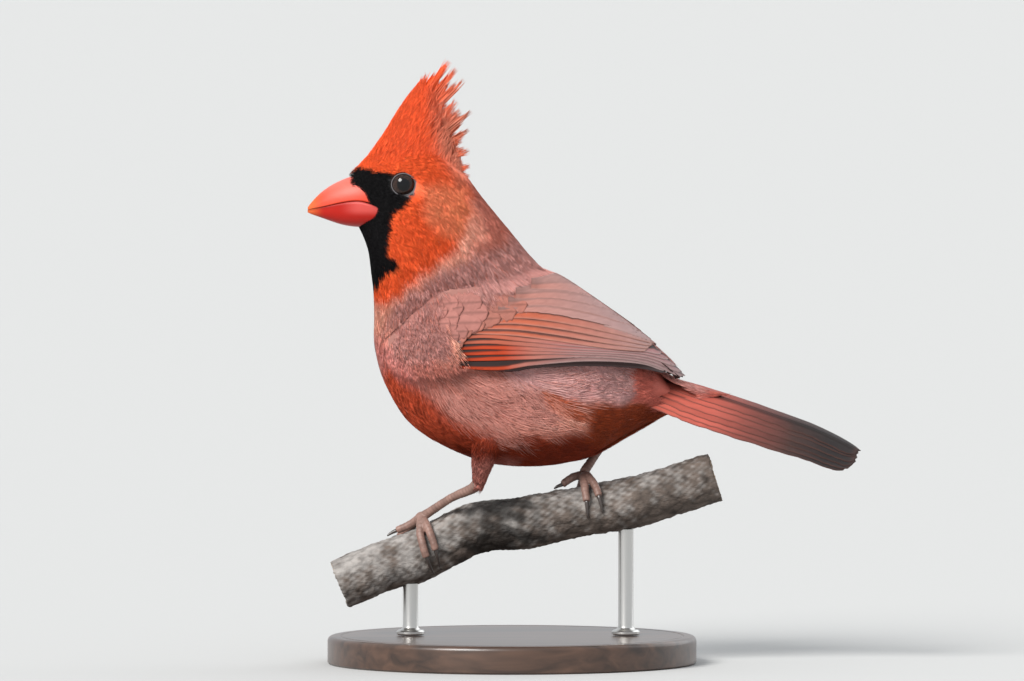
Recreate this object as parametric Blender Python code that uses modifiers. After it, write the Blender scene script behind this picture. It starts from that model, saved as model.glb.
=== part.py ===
"""A male northern cardinal standing along a cut branch, on a plain display stand.

The bird faces -X with its left side towards -Y. All sizes below are millimetres, which MM turns
into metres. The origin is the middle of the stand's underside, which lies at Z = 0.
"""

import math

import bmesh
import bpy
import numpy as np
from mathutils import Matrix, Vector

MM = 0.001
GAP = 0.3  # between two solids that meet

# Sections through the plumage from the bill to the tips of the tail coverts. Each has its point
# on the back and its point on the throat or belly, both as (x, z), and its half-width.
BODY_STATIONS = {
    "bill base": ((-51.8, 160.1), (-51.0, 144.4), 5.2),
    "lores": ((-45.6, 166.4), (-48.2, 138.6), 7.0),
    "forehead": ((-37.0, 170.3), (-46.6, 133.6), 8.9),
    "eye": ((-26.8, 169.4), (-45.8, 127.2), 12.2),
    "nape": ((-17.6, 162.4), (-45.0, 120.4), 14.0),
    "mid neck": ((-10.4, 152.6), (-44.8, 112.0), 15.3),
    "neck base": ((-1.2, 141.4), (-44.6, 102.6), 18.4),
    "shoulder": ((8.0, 130.4), (-41.0, 90.6), 22.4),
    "breast": ((17.6, 122.6), (-31.6, 76.8), 25.0),
    "middle": ((28.0, 114.8), (-12.0, 66.6), 25.8),
    "belly": ((36.2, 107.6), (6.0, 64.2), 24.0),
    "flank": ((42.0, 101.2), (23.0, 66.8), 20.2),
    "vent": ((47.6, 96.4), (36.0, 74.0), 15.0),
    "tail coverts": ((54.0, 92.6), (47.4, 79.8), 9.6),
    "covert tips": ((62.6, 89.6), (59.6, 84.2), 4.4),
}
BODY_FULLNESS = 2.15  # of the sections: 2 is an ellipse, and more is squarer
BODY_SIDES = 22
NECK_TOP, NECK_BOTTOM, TRUNK_END = 4.45, 6.45, 11.5  # cuts, counted in stations
CUT = 0.045  # the gap left at a cut, in stations

# The form that the folded wings fill, from the neck base back to the wing tips
WING_STATIONS = {
    "neck base": ((-1.0, 143.6), (-44.6, 103.0), 19.2),
    "shoulder": ((8.8, 131.4), (-41.6, 90.6), 25.6),
    "breast": ((18.6, 124.2), (-31.6, 76.8), 28.8),
    "middle": ((29.4, 116.6), (-12.0, 66.6), 29.4),
    "belly": ((38.0, 110.4), (6.0, 64.2), 27.2),
    "flank": ((44.6, 105.2), (24.0, 66.8), 22.6),
    "vent": ((51.0, 99.5), (38.0, 74.0), 16.4),
    "wing tips": ((56.6, 94.0), (50.0, 81.0), 9.0),
    "end": ((60.0, 90.0), (57.0, 85.0), 5.0),
}
WING_OUTLINE = ((-40.0, 105.0), (-36.0, 115.4), (-23.4, 122.4), (-4.0, 124.8), (15.6, 126.2),
                (31.0, 121.0), (47.0, 108.0), (54.0, 98.5), (56.9, 93.0), (46.0, 98.4),
                (28.6, 101.0), (14.0, 100.5), (-3.3, 98.1), (-15.3, 99.3), (-26.7, 98.0),
                (-34.5, 97.2), (-38.6, 99.8))
WING_PARTING = 0.5  # half the gap between the two wings over the rump
COVERTS_OUTLINE = ((-60.0, 80.0), (-34.0, 80.0), (-16.6, 98.8), (5.2, 121.5), (20.0, 140.0),
                   (-60.0, 140.0))
SECONDARIES_OUTLINE = ((-60.0, 112.8), (-13.7, 108.6), (12.0, 106.0), (30.2, 104.4),
                       (43.0, 104.4), (46.5, 107.0), (50.0, 112.0), (50.0, 140.0),
                       (-60.0, 140.0))

# Bill sections from the tip back into the head: x, culmen z, mouth line z, chin z, and the
# half-width of the upper and of the lower half
BILL_SECTIONS = (
    (-66.4, 148.3, 147.5, 146.9, 0.5, 0.4),
    (-65.0, 150.2, 147.9, 146.2, 1.7, 1.4),
    (-62.6, 152.8, 148.3, 145.4, 3.0, 2.6),
    (-59.4, 155.3, 149.0, 144.2, 4.3, 4.0),
    (-55.4, 157.3, 150.0, 142.8, 5.6, 5.5),
    (-51.4, 158.8, 150.6, 142.1, 6.6, 7.0),
    (-47.4, 159.6, 150.4, 142.0, 7.2, 8.2),
    (-43.4, 159.4, 148.4, 142.4, 7.2, 8.7),
    (-40.4, 158.4, 147.4, 143.6, 6.0, 7.0),
)
BILL_ARCH_POINTS = 11
UPPER_FULLNESS, LOWER_FULLNESS = 1.9, 2.5

EYE_RADIUS, EYE_X, EYE_Y, EYE_Z = 4.4, -35.2, 7.9, 156.2

# The crest's core from the crown up: front edge, rear edge and half-thickness
CREST_STATIONS = (
    ((-49.4, 160.6), (-14.8, 150.0), 10.0),
    ((-47.2, 165.0), (-14.4, 158.4), 8.8),
    ((-42.2, 172.0), (-14.8, 166.0), 6.6),
    ((-37.9, 178.9), (-16.2, 173.6), 4.6),
    ((-34.2, 184.4), (-18.2, 180.4), 3.2),
    ((-31.0, 188.3), (-21.6, 186.2), 2.1),
    ((-28.2, 191.0), (-25.4, 190.4), 1.2),
)
# Feather locks that stand out of the crest: root and tip, as (x, z)
CREST_LOCKS = (
    ((-31.6, 183.0), (-27.4, 192.2)),
    ((-30.6, 183.6), (-20.1, 196.4)),
    ((-28.8, 181.0), (-17.9, 194.0)),
    ((-27.2, 178.5), (-15.1, 190.4)),
    ((-26.0, 172.5), (-12.9, 180.1)),
    ((-26.0, 169.5), (-13.6, 174.0)),
    ((-26.0, 167.0), (-13.1, 167.2)),
    ((-26.0, 165.0), (-13.0, 161.8)),
    ((-26.0, 163.5), (-13.4, 158.6)),
)
LOCK_ROOT, LOCK_TIP, LOCK_FLATNESS = 2.0, 0.4, 0.7  # radii, and thickness over width

# The closed tail is a shallow roof along this ridge, rolled so that its left edge hangs lower.
TAIL_RIDGE = ((52.0, 92.0), (61.5, 89.2), (75.0, 84.9), (88.0, 80.4), (98.0, 76.8),
              (107.0, 72.6), (113.4, 69.0))
TAIL_HALF_WIDTHS = (7.0, 10.4, 12.4, 13.2, 13.2, 12.0, 6.4)
TAIL_THICKNESSES = (3.0, 2.9, 2.6, 2.2, 1.8, 1.4, 0.9)
TAIL_ROLL, TAIL_ROOF = 24.0, 17.0  # degrees
TAIL_EDGE_SHARE = 0.5  # thickness at the edge over that at the ridge
TAIL_POINTS = 7  # across the tail

PERCH_AXIS = ((-56.0, 25.6), (-40.0, 32.4), (-31.0, 35.1), (-23.0, 39.0), (-10.0, 44.7),
              (2.0, 45.4), (16.0, 48.2), (40.0, 52.5), (52.0, 56.3), (66.0, 60.8))
PERCH_RADIUS, PERCH_END = 8.3, 9.0  # the sections lean square to the axis over the end's length
PERCH_SIDES, PERCH_RINGS = 14, 19
KNOTS = ((-27.0, 170.0, 1.4), (4.0, -125.0, 1.8), (47.0, 60.0, 1.5))  # x, degrees and height
KNOT_REACH = 5.0

# The joints of each leg as (x, y, z) with a radius: hip, knee, ankle, mid tarsus, toe joint
LEG_JOINTS = {
    "left": (((-4.0, -13.0, 82.0), 7.6), ((-8.6, -14.2, 70.0), 4.6), ((-10.8, -13.6, 59.4), 2.1),
             ((-19.6, -8.8, 54.4), 1.3), ((-29.0, -3.2, 48.0), 1.5)),
    "right": (((38.4, 12.0, 92.0), 7.0), ((37.8, 14.2, 84.0), 5.2), ((34.2, 12.0, 76.6), 2.3),
              ((28.4, 7.4, 69.2), 1.3), ((23.4, 2.4, 62.2), 1.5)),
}
ANKLE = 2.0  # counted in joints
TARSUS_SIDES, THIGH_SIDES = 10, 12

# Points round the perch are (x, degrees from its top towards the left, height over the bark).
HUBS = {"left": (-29.4, 16.0, 2.6), "right": (23.3, -12.0, 3.4)}
HUB_RADIUS = 2.1
# Toes from the hind one outwards, from the hub on; the last three points of each are its claw.
TOES = {
    "left": {
        "1": ((-27.6, 45.0, 1.6), (-26.0, 71.0, 1.5), (-24.8, 93.0, 1.2), (-24.0, 113.0, 0.8),
              (-23.4, 135.0, 0.3)),
        "2": ((-31.8, -14.0, 1.9), (-34.6, -28.0, 1.5), (-36.8, -40.0, 1.3),
              (-38.4, -52.0, 0.9), (-39.4, -66.0, 0.3)),
        "3": ((-32.0, 8.0, 2.3), (-35.0, 6.0, 1.8), (-37.4, 4.0, 1.3), (-39.2, 4.0, 0.9),
              (-40.6, 6.0, 0.3)),
        "4": ((-29.8, 48.0, 1.5), (-29.0, 74.0, 1.4), (-27.8, 97.0, 1.2), (-26.6, 119.0, 0.8),
              (-25.4, 141.0, 0.3)),
    },
    "right": {
        "1": ((25.4, 20.0, 2.6), (27.2, 42.0, 1.5), (28.2, 62.0, 1.2), (28.9, 80.0, 0.8),
              (29.4, 98.0, 0.3)),
        "2": ((23.4, 26.0, 2.4), (23.8, 48.0, 1.5), (24.2, 68.0, 1.2), (24.4, 86.0, 0.8),
              (24.6, 104.0, 0.3)),
        "3": ((20.6, -2.0, 3.4), (18.2, 0.0, 2.4), (16.4, 2.0, 1.3), (14.8, 4.0, 0.9),
              (13.6, 6.0, 0.3)),
        "4": ((22.6, -36.0, 2.0), (21.4, -56.0, 1.5), (20.6, -76.0, 1.2), (19.8, -96.0, 0.8),
              (19.0, -114.0, 0.3)),
    },
}
TOE_ROOT_RADIUS, TOE_END_RADIUS, TOE_SIDES = 1.45, 1.15, 7
CLAW_RADIUS, CLAW_TIP_RADIUS, CLAW_SIDES = 0.8, 0.28, 6

STAND_RADIUS, STAND_THICKNESS, STAND_EDGE = 60.0, 9.0, 1.6
STAND_SIDES, ROD_SIDES = 40, 16
ROD_RADIUS, ROD_FLANGE_RADIUS, ROD_FLANGE_HEIGHT = 2.5, 4.6, 1.6
ROD_XS = (-33.0, 37.0)

RED, GREY_BROWN = (0.62, 0.09, 0.03), (0.30, 0.17, 0.13)

model = bpy.data.collections.new("Northern cardinal")
cutters = bpy.data.collections.new("Cutters")


def empty_scene():
    for obj in list(bpy.data.objects):
        bpy.data.objects.remove(obj)
    for collection in (model, cutters):
        bpy.context.scene.collection.children.link(collection)


def finish(name, colour, roughness, metallic=0.0):
    """A material with the given colour, roughness and metallic value."""
    material = bpy.data.materials.get(name) or bpy.data.materials.new(name)
    material.use_nodes = True
    shader = material.node_tree.nodes["Principled BSDF"]
    shader.inputs["Base Color"].default_value = (*colour, 1.0)
    shader.inputs["Roughness"].default_value = roughness
    shader.inputs["Metallic"].default_value = metallic
    return material


def spline(rows, t):
    """The value at t of a smooth curve through the rows, whose first row is at t = 0."""
    rows = np.asarray(rows, float)
    i = int(min(max(t, 0), len(rows) - 2))
    f = t - i
    here, after = rows[i], rows[i + 1]
    before = rows[i - 1] if i > 0 else 2 * here - after
    beyond = rows[i + 2] if i + 2 < len(rows) else 2 * after - here
    return 0.5 * (2 * here + (after - before) * f
                  + (2 * before - 5 * here + 4 * after - beyond) * f ** 2
                  + (3 * here - before - 3 * after + beyond) * f ** 3)


def add(name, mesh, material=None):
    """A new object: a part of the model, or a cutter where it has no material."""
    obj = bpy.data.objects.new(name, mesh)
    mesh.materials.clear()
    mesh.shade_smooth()
    mesh.set_sharp_from_angle(angle=math.radians(50))
    if material:
        mesh.materials.append(material)
        model.objects.link(obj)
    else:
        obj.hide_render = True
        obj.display_type = "WIRE"
        cutters.objects.link(obj)
    return obj


def add_shape(name, shape, material=None):
    """A new object from a bmesh, which is freed."""
    bmesh.ops.recalc_face_normals(shape, faces=shape.faces)
    mesh = bpy.data.meshes.new(name)
    shape.to_mesh(mesh)
    shape.free()
    return add(name, mesh, material)


def loft(name, rings, material=None):
    """A closed skin over rings of points in millimetres, with a flat cap at each end."""
    shape = bmesh.new()
    loops = [[shape.verts.new(Vector(point) * MM) for point in ring] for ring in rings]
    for one, two in zip(loops, loops[1:]):
        for k in range(len(one)):
            shape.faces.new((one[k - 1], one[k], two[k], two[k - 1]))
    shape.faces.new(loops[0])
    shape.faces.new(loops[-1])
    return add_shape(name, shape, material)


def boolean(obj, operation, *others, solver="EXACT"):
    for other in others:
        modifier = obj.modifiers.new(f"{operation.lower()} {other.name}", "BOOLEAN")
        modifier.operation = operation
        modifier.object = other
        modifier.solver = solver
    return obj


def part_copy(source, name, material):
    """A new part with the mesh and the Booleans of another object."""
    obj = add(name, source.data.copy(), material)
    for old in source.modifiers:
        boolean(obj, old.operation, old.object, solver=old.solver)
    return obj


def superellipse(angle, fullness):
    """The cosine and sine of an angle, drawn out to the corners of a fuller curve."""
    return (math.copysign(abs(math.cos(angle)) ** (2 / fullness), math.cos(angle)),
            math.copysign(abs(math.sin(angle)) ** (2 / fullness), math.sin(angle)))


def section_ring(row, sides, grow=0.0, fullness=BODY_FULLNESS):
    """The points round one section, which lies in a plane that holds the Y direction."""
    back, belly, half_width = np.array(row[0:2]), np.array(row[2:4]), row[4] + grow
    centre, half = (back + belly) / 2, (back - belly) / 2
    half = half * (1 + grow / np.linalg.norm(half))
    ring = []
    for k in range(sides):
        up, out = superellipse(2 * math.pi * k / sides, fullness)
        ring.append((centre[0] + up * half[0], out * half_width, centre[1] + up * half[1]))
    return ring


def station_loft(name, stations, start, stop, material=None, grow=0.0, sides=BODY_SIDES,
                 per_station=2.5, fullness=BODY_FULLNESS):
    """The form over the sections between two stations."""
    rows = [(*back, *belly, half_width) for back, belly, half_width in stations]
    count = max(3, round((stop - start) * per_station) + 1)
    rings = [section_ring(spline(rows, t), sides, grow, fullness)
             for t in np.linspace(start, stop, count)]
    return loft(name, rings, material)


def tube(name, points, radii, sides, material=None, start=0.0, stop=None, grow=0.0, steps=3,
         flatness=1.0):
    """A tube along a smooth path. Flatness is its thickness along Y over its width."""
    rows = [(*point, radius) for point, radius in zip(points, radii)]
    last = len(rows) - 1 if stop is None else stop
    rings = []
    side = None
    for t in np.linspace(start, last, max(2, round((last - start) * steps) + 1)):
        here = spline(rows, t)
        along = Vector(spline(rows, t + 0.02)[:3] - spline(rows, t - 0.02)[:3]).normalized()
        side = side - along * side.dot(along) if side else along.orthogonal()
        side.normalize()
        up = along.cross(side)
        ring = []
        for k in range(sides):
            angle = 2 * math.pi * k / sides
            reach = (side * math.cos(angle) + up * math.sin(angle)) * (here[3] + grow)
            reach.y *= flatness
            ring.append(Vector(here[:3]) + reach)
        rings.append(ring)
    return loft(name, rings, material)


def outline_prism(name, outline, low_y, high_y, smooth):
    """A cutter: an outline of (x, z) points, drawn out between two Y planes."""
    curve = bpy.data.curves.new(name, "CURVE")
    curve.dimensions = "2D"
    curve.fill_mode = "BOTH"
    curve.extrude = (high_y - low_y) / 2 * MM
    curve.resolution_u = 4 if smooth else 1
    line = curve.splines.new("BEZIER")
    line.bezier_points.add(len(outline) - 1)
    for corner, (x, z) in zip(line.bezier_points, outline):
        corner.co = (x * MM, z * MM, 0.0)
        corner.handle_left_type = corner.handle_right_type = "AUTO" if smooth else "VECTOR"
    line.use_cyclic_u = True
    drawn = bpy.data.objects.new(name, curve)
    drawn.rotation_euler = (math.radians(90), 0, 0)
    drawn.location = (0, (low_y + high_y) / 2 * MM, 0)
    cutters.objects.link(drawn)
    bpy.context.view_layer.update()
    evaluated = drawn.evaluated_get(bpy.context.evaluated_depsgraph_get())
    mesh = bpy.data.meshes.new_from_object(evaluated)
    mesh.transform(drawn.matrix_world)
    shape = bmesh.new()
    shape.from_mesh(mesh)
    bmesh.ops.remove_doubles(shape, verts=shape.verts, dist=0.00001)
    bpy.data.objects.remove(drawn)
    bpy.data.curves.remove(curve)
    return add_shape(name, shape)


def ball(name, centre, radius, material=None, segments=12, rings=8):
    shape = bmesh.new()
    bmesh.ops.create_uvsphere(shape, u_segments=segments, v_segments=rings,
                              radius=radius * MM,
                              matrix=Matrix.Translation(Vector(centre) * MM))
    return add_shape(name, shape, material)


def bill_half(row, upper, grow):
    """Half a bill section: an arch over the mouth line, or one under it.

    A grown one is a cutter's, and also reaches past the mouth line by the same amount.
    """
    x, culmen, mouth, chin, upper_half, lower_half = row
    height = culmen - mouth + grow if upper else chin - mouth - grow
    half_width = (upper_half if upper else lower_half) + grow
    points = []
    for k in range(BILL_ARCH_POINTS):
        out, up = superellipse(math.pi * k / (BILL_ARCH_POINTS - 1),
                               UPPER_FULLNESS if upper else LOWER_FULLNESS)
        points.append((x, out * half_width, mouth + up * height))
    if grow:
        past = mouth - grow if upper else mouth + grow
        points += [(x, -half_width, past), (x, half_width, past)]
    return points


def make_bill():
    """The two halves of the bill, and the cutters that make room for them in the head."""
    rows = [spline(BILL_SECTIONS, t) for t in np.linspace(0, len(BILL_SECTIONS) - 1, 9)]
    horn = finish("bill horn", (0.78, 0.14, 0.07), 0.35)
    room = []
    for upper, name in ((True, "bill_upper"), (False, "bill_lower")):
        lift = Vector((0.0, 0.0, GAP / 2 if upper else -GAP / 2))
        for grow in (0.0, GAP + 0.1):
            rings = [[Vector(point) + lift for point in bill_half(row, upper, grow)]
                     for row in rows]
            if grow:
                rings.append([point + Vector((GAP, 0.0, 0.0)) for point in rings[-1]])
                room.append(loft(f"{name} room", rings))
            else:
                loft(name, rings, horn)
    return room


def make_head(body_room):
    """Head, crest, bill and eyes. The neck starts under the nape."""
    room = make_bill()
    for name, side in (("left", -1), ("right", 1)):
        centre = (EYE_X, side * EYE_Y, EYE_Z)
        ball(f"eye_{name}", centre, EYE_RADIUS, finish("eye", (0.02, 0.012, 0.01), 0.08))
        room.append(ball(f"eye room {name}", centre, EYE_RADIUS + GAP))
    stations = list(BODY_STATIONS.values())
    head = station_loft("head", stations, 0.0, NECK_TOP, finish("face plumage", RED, 0.8))
    boolean(head, "DIFFERENCE", *room)
    crest = station_loft("crest", CREST_STATIONS, 0.0, len(CREST_STATIONS) - 1,
                         finish("crest plumage", RED, 0.8), sides=16, per_station=2, fullness=1.8)
    for k, (root, tip) in enumerate(CREST_LOCKS):
        points = [(root[0], 0.0, root[1]), (tip[0], 0.0, tip[1])]
        lock = tube(f"crest lock {k}", points, (LOCK_ROOT, LOCK_TIP), 6, steps=1,
                    flatness=LOCK_FLATNESS)
        boolean(crest, "UNION", lock)
    boolean(crest, "DIFFERENCE", body_room)


def make_trunk():
    """Neck, trunk and the coverts round the tail's root."""
    stations = list(BODY_STATIONS.values())
    last = len(stations) - 1
    red = finish("body plumage", RED, 0.8)
    station_loft("neck", stations, NECK_TOP + CUT, NECK_BOTTOM, red)
    station_loft("trunk", stations, NECK_BOTTOM + CUT, TRUNK_END, red)
    station_loft("tail_coverts", stations, TRUNK_END + CUT, last,
                 finish("covert plumage", (0.42, 0.12, 0.08), 0.8))


def make_wing(side_name, side, body_room, tail_room):
    """A folded wing in three parts: its coverts, secondaries and primaries."""
    stations = list(WING_STATIONS.values())
    low_y, high_y = sorted((side * WING_PARTING, side * 40.0))
    form = station_loft(f"wing form {side_name}", stations, 0.0, len(stations) - 1)
    outline = outline_prism(f"wing outline {side_name}", WING_OUTLINE, low_y, high_y, True)
    boolean(form, "INTERSECT", outline, solver="MANIFOLD")
    boolean(form, "DIFFERENCE", body_room, tail_room, solver="MANIFOLD")
    cuts = {}
    for name, points in (("coverts", COVERTS_OUTLINE), ("secondaries", SECONDARIES_OUTLINE)):
        cuts[name] = outline_prism(f"{name} outline {side_name}", points, -45.0, 45.0, False)
        middle = np.mean(points, axis=0)
        grown = [(x + GAP * (1 if x > middle[0] else -1), z - GAP) for x, z in points]
        cuts[f"{name} room"] = outline_prism(f"{name} room {side_name}", grown, -45.0, 45.0,
                                             False)
    coverts = part_copy(form, f"wing_{side_name}", finish("wing coverts", GREY_BROWN, 0.75))
    boolean(coverts, "INTERSECT", cuts["coverts"], solver="MANIFOLD")
    flight = finish("flight feathers", (0.36, 0.09, 0.05), 0.6)
    secondaries = part_copy(form, f"secondaries_{side_name}", flight)
    boolean(secondaries, "INTERSECT", cuts["secondaries"], solver="MANIFOLD")
    boolean(secondaries, "DIFFERENCE", cuts["coverts room"], solver="MANIFOLD")
    primaries = part_copy(form, f"primaries_{side_name}", flight)
    boolean(primaries, "DIFFERENCE", cuts["coverts room"], cuts["secondaries room"],
            solver="MANIFOLD")


def tail_rings(grow):
    """Sections of the tail, square to its length."""
    rows = [(*ridge, half_width, thick) for ridge, half_width, thick
            in zip(TAIL_RIDGE, TAIL_HALF_WIDTHS, TAIL_THICKNESSES)]
    roll, roof = math.radians(TAIL_ROLL), math.tan(math.radians(TAIL_ROOF))
    rings = []
    for t in np.linspace(0, len(rows) - 1, 2 * (len(rows) - 1) + 1):
        x, z, half_width, thick = spline(rows, t)
        along = Vector(spline(rows, t + 0.02)[:2] - spline(rows, t - 0.02)[:2]).normalized()
        top, under = [], []
        for k in range(TAIL_POINTS):
            s = 2 * k / (TAIL_POINTS - 1) - 1
            depth = thick * (1 - (1 - TAIL_EDGE_SHARE) * abs(s))
            out = s * (half_width + grow)
            drop = roof * math.hypot(out, 0.15 * half_width)
            top.append((out, grow - drop))
            under.append((out, -grow - drop - depth))
        ring = []
        for out, up in top + under[::-1]:
            y = out * math.cos(roll) + up * math.sin(roll)
            rise = up * math.cos(roll) + out * math.sin(roll)
            ring.append((x - along.y * rise, y, z + along.x * rise))
        rings.append(ring)
    return rings


def make_tail(body_room):
    """The closed tail, and the cutter that makes room for it in the wings."""
    tail = loft("tail", tail_rings(0.0), finish("tail feathers", (0.34, 0.07, 0.045), 0.6))
    boolean(tail, "DIFFERENCE", body_room)
    return loft("tail room", tail_rings(GAP))


def perch_radius(x, degrees):
    """The branch's radius, with its slow unevenness and its knots."""
    radius = PERCH_RADIUS + 0.25 * math.sin(x * 0.21) + 0.2 * math.sin(math.radians(2 * degrees))
    for knot_x, knot_degrees, height in KNOTS:
        across = math.radians((degrees - knot_degrees + 180) % 360 - 180) * PERCH_RADIUS
        away = math.hypot(x - knot_x, across) / KNOT_REACH
        radius += height * math.exp(-away ** 2)
    return radius


def on_perch(x, degrees, height):
    """A point over the bark, turned from the branch's top towards the bird's left."""
    xs = [point[0] for point in PERCH_AXIS]
    low = float(np.searchsorted(xs[1:-1], x))
    high = low + 1
    while high - low > 1e-6:
        t = (low + high) / 2
        low, high = (t, high) if spline(PERCH_AXIS, t)[0] < x else (low, t)
    along = Vector(spline(PERCH_AXIS, t + 0.02) - spline(PERCH_AXIS, t - 0.02)).normalized()
    to_end = min(x - xs[0], xs[-1] - x)
    lean = along.y * max(0.0, 1 - to_end / PERCH_END)
    reach = perch_radius(x, degrees) + height
    up = reach * math.cos(math.radians(degrees)) / (along.x + lean * along.y)
    return Vector((x - lean * up, -reach * math.sin(math.radians(degrees)),
                   spline(PERCH_AXIS, t)[1] + math.sqrt(1 - lean * lean) * up))


def make_perch():
    """The branch, and the cutter that makes room for it."""
    step = 360 / PERCH_SIDES
    ends = PERCH_AXIS[0][0], PERCH_AXIS[-1][0]
    for name, grow, material in (("perch", 0.0, finish("bark", (0.32, 0.29, 0.25), 0.9)),
                                 ("perch room", GAP, None)):
        rings = [[on_perch(x, k * step, grow) for k in range(PERCH_SIDES)]
                 for x in np.linspace(*ends, PERCH_RINGS)]
        room = loft(name, rings, material)
    return room


def along_toe(rows, t):
    """A point on a toe's path, which is smooth in the measures round the perch."""
    x, degrees, height = spline(rows, t)
    return on_perch(x, degrees, height + GAP)


def make_foot(side_name, shin):
    """The toes joined at their hub, each with a claw of its own."""
    horn = finish("leg scales", (0.36, 0.20, 0.15), 0.6)
    hub = HUBS[side_name]
    foot = ball(f"foot_{side_name}", on_perch(*hub), HUB_RADIUS, horn, 8, 6)
    for number, points in TOES[side_name].items():
        rows = [hub, *points]
        path = [along_toe(rows, t) for t in np.linspace(0, 3, 6)]
        radii = np.linspace(TOE_ROOT_RADIUS, TOE_END_RADIUS, len(path))
        name = f"{side_name} {number}"
        toe = tube(f"toe {name}", path, radii, TOE_SIDES, steps=1)
        toe_room = tube(f"toe room {name}", path, radii, TOE_SIDES, grow=GAP, steps=1)
        boolean(foot, "UNION", toe, solver="MANIFOLD")
        path = [along_toe(rows, t) for t in np.linspace(2.8, 5, 6)]
        radii = CLAW_TIP_RADIUS + (CLAW_RADIUS - CLAW_TIP_RADIUS) * np.linspace(1, 0, 6) ** 0.7
        claw = tube(f"claw_{side_name}_{number}", path, radii, CLAW_SIDES,
                    finish("claw horn", (0.10, 0.07, 0.06), 0.4), steps=1)
        boolean(claw, "DIFFERENCE", toe_room)
        boolean(shin, "DIFFERENCE", toe_room)
    boolean(shin, "DIFFERENCE", ball(f"hub room {side_name}", on_perch(*hub),
                                     HUB_RADIUS + GAP, None, 8, 6))


def make_leg(side_name, body_room):
    """The feathered thigh, the bare tarsus and the foot."""
    points = [joint for joint, _ in LEG_JOINTS[side_name]]
    radii = [radius for _, radius in LEG_JOINTS[side_name]]
    thigh = tube(f"thigh_{side_name}", points, radii, THIGH_SIDES,
                 finish("body plumage", RED, 0.8), stop=ANKLE, steps=5)
    boolean(thigh, "DIFFERENCE", body_room)
    shin = tube(f"tarsus_{side_name}", points, radii, TARSUS_SIDES,
                finish("leg scales", (0.36, 0.20, 0.15), 0.6), start=ANKLE + CUT, steps=4)
    boolean(shin, "DIFFERENCE", body_room)
    make_foot(side_name, shin)


def make_stand(perch_room):
    """A round base with two rods up to the branch, each on a low flange."""
    wood = finish("stand wood", (0.10, 0.055, 0.035), 0.4)
    shape = bmesh.new()
    bmesh.ops.create_cone(shape, cap_ends=True, segments=STAND_SIDES, radius1=STAND_RADIUS * MM,
                          radius2=STAND_RADIUS * MM, depth=STAND_THICKNESS * MM,
                          matrix=Matrix.Translation((0, 0, STAND_THICKNESS / 2 * MM)))
    rims = [edge for edge in shape.edges if abs(edge.verts[0].co.z - edge.verts[1].co.z) < 1e-6]
    bmesh.ops.bevel(shape, geom=rims, offset=STAND_EDGE * MM, segments=2, profile=0.5,
                    affect="EDGES")
    add_shape("stand_base", shape, wood)
    steel = finish("stand rods", (0.55, 0.53, 0.50), 0.3, 1.0)
    foot_z = STAND_THICKNESS + GAP
    for k, rod_x in enumerate(ROD_XS, 1):
        top_z = on_perch(rod_x, 0, 0).z - PERCH_RADIUS
        profile = ((0.0, top_z), (ROD_RADIUS, top_z), (ROD_RADIUS, foot_z + ROD_FLANGE_HEIGHT),
                   (ROD_FLANGE_RADIUS - 0.5, foot_z + ROD_FLANGE_HEIGHT),
                   (ROD_FLANGE_RADIUS, foot_z + ROD_FLANGE_HEIGHT - 0.5),
                   (ROD_FLANGE_RADIUS, foot_z), (0.0, foot_z))
        mesh = bpy.data.meshes.new(f"stand_rod_{k}")
        mesh.from_pydata([(x * MM, 0.0, z * MM) for x, z in profile],
                         [(i, i + 1) for i in range(len(profile) - 1)], [])
        rod = add(mesh.name, mesh, steel)
        rod.location = (rod_x * MM, 0, 0)
        turn = rod.modifiers.new("turn", "SCREW")
        turn.steps = turn.render_steps = ROD_SIDES
        turn.use_merge_vertices = True
        turn.merge_threshold = 0.00001
        boolean(rod, "DIFFERENCE", perch_room)


def main():
    empty_scene()
    body_stations = list(BODY_STATIONS.values())
    body_room = station_loft("body room", body_stations, 0.0, len(body_stations) - 1, grow=GAP)
    make_trunk()
    make_head(body_room)
    tail_room = make_tail(body_room)
    make_wing("left", -1, body_room, tail_room)
    make_wing("right", 1, body_room, tail_room)
    perch_room = make_perch()
    make_leg("left", body_room)
    make_leg("right", body_room)
    make_stand(perch_room)


main()
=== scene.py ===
"""The looks of a male northern cardinal that stands on a cut branch over a plain display stand.

The bird faces -X with its left side towards -Y. Sizes are in millimetres, which MM turns into
metres, and the origin is the middle of the stand's underside. One skin carries a coat of small
feathers made of fine barbs, and the wing and tail feathers are modelled one by one.
"""

import math

import bmesh
import bpy
import numpy as np
from bpy.props import FloatProperty, FloatVectorProperty, PointerProperty
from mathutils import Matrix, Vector
from mathutils.bvhtree import BVHTree


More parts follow.
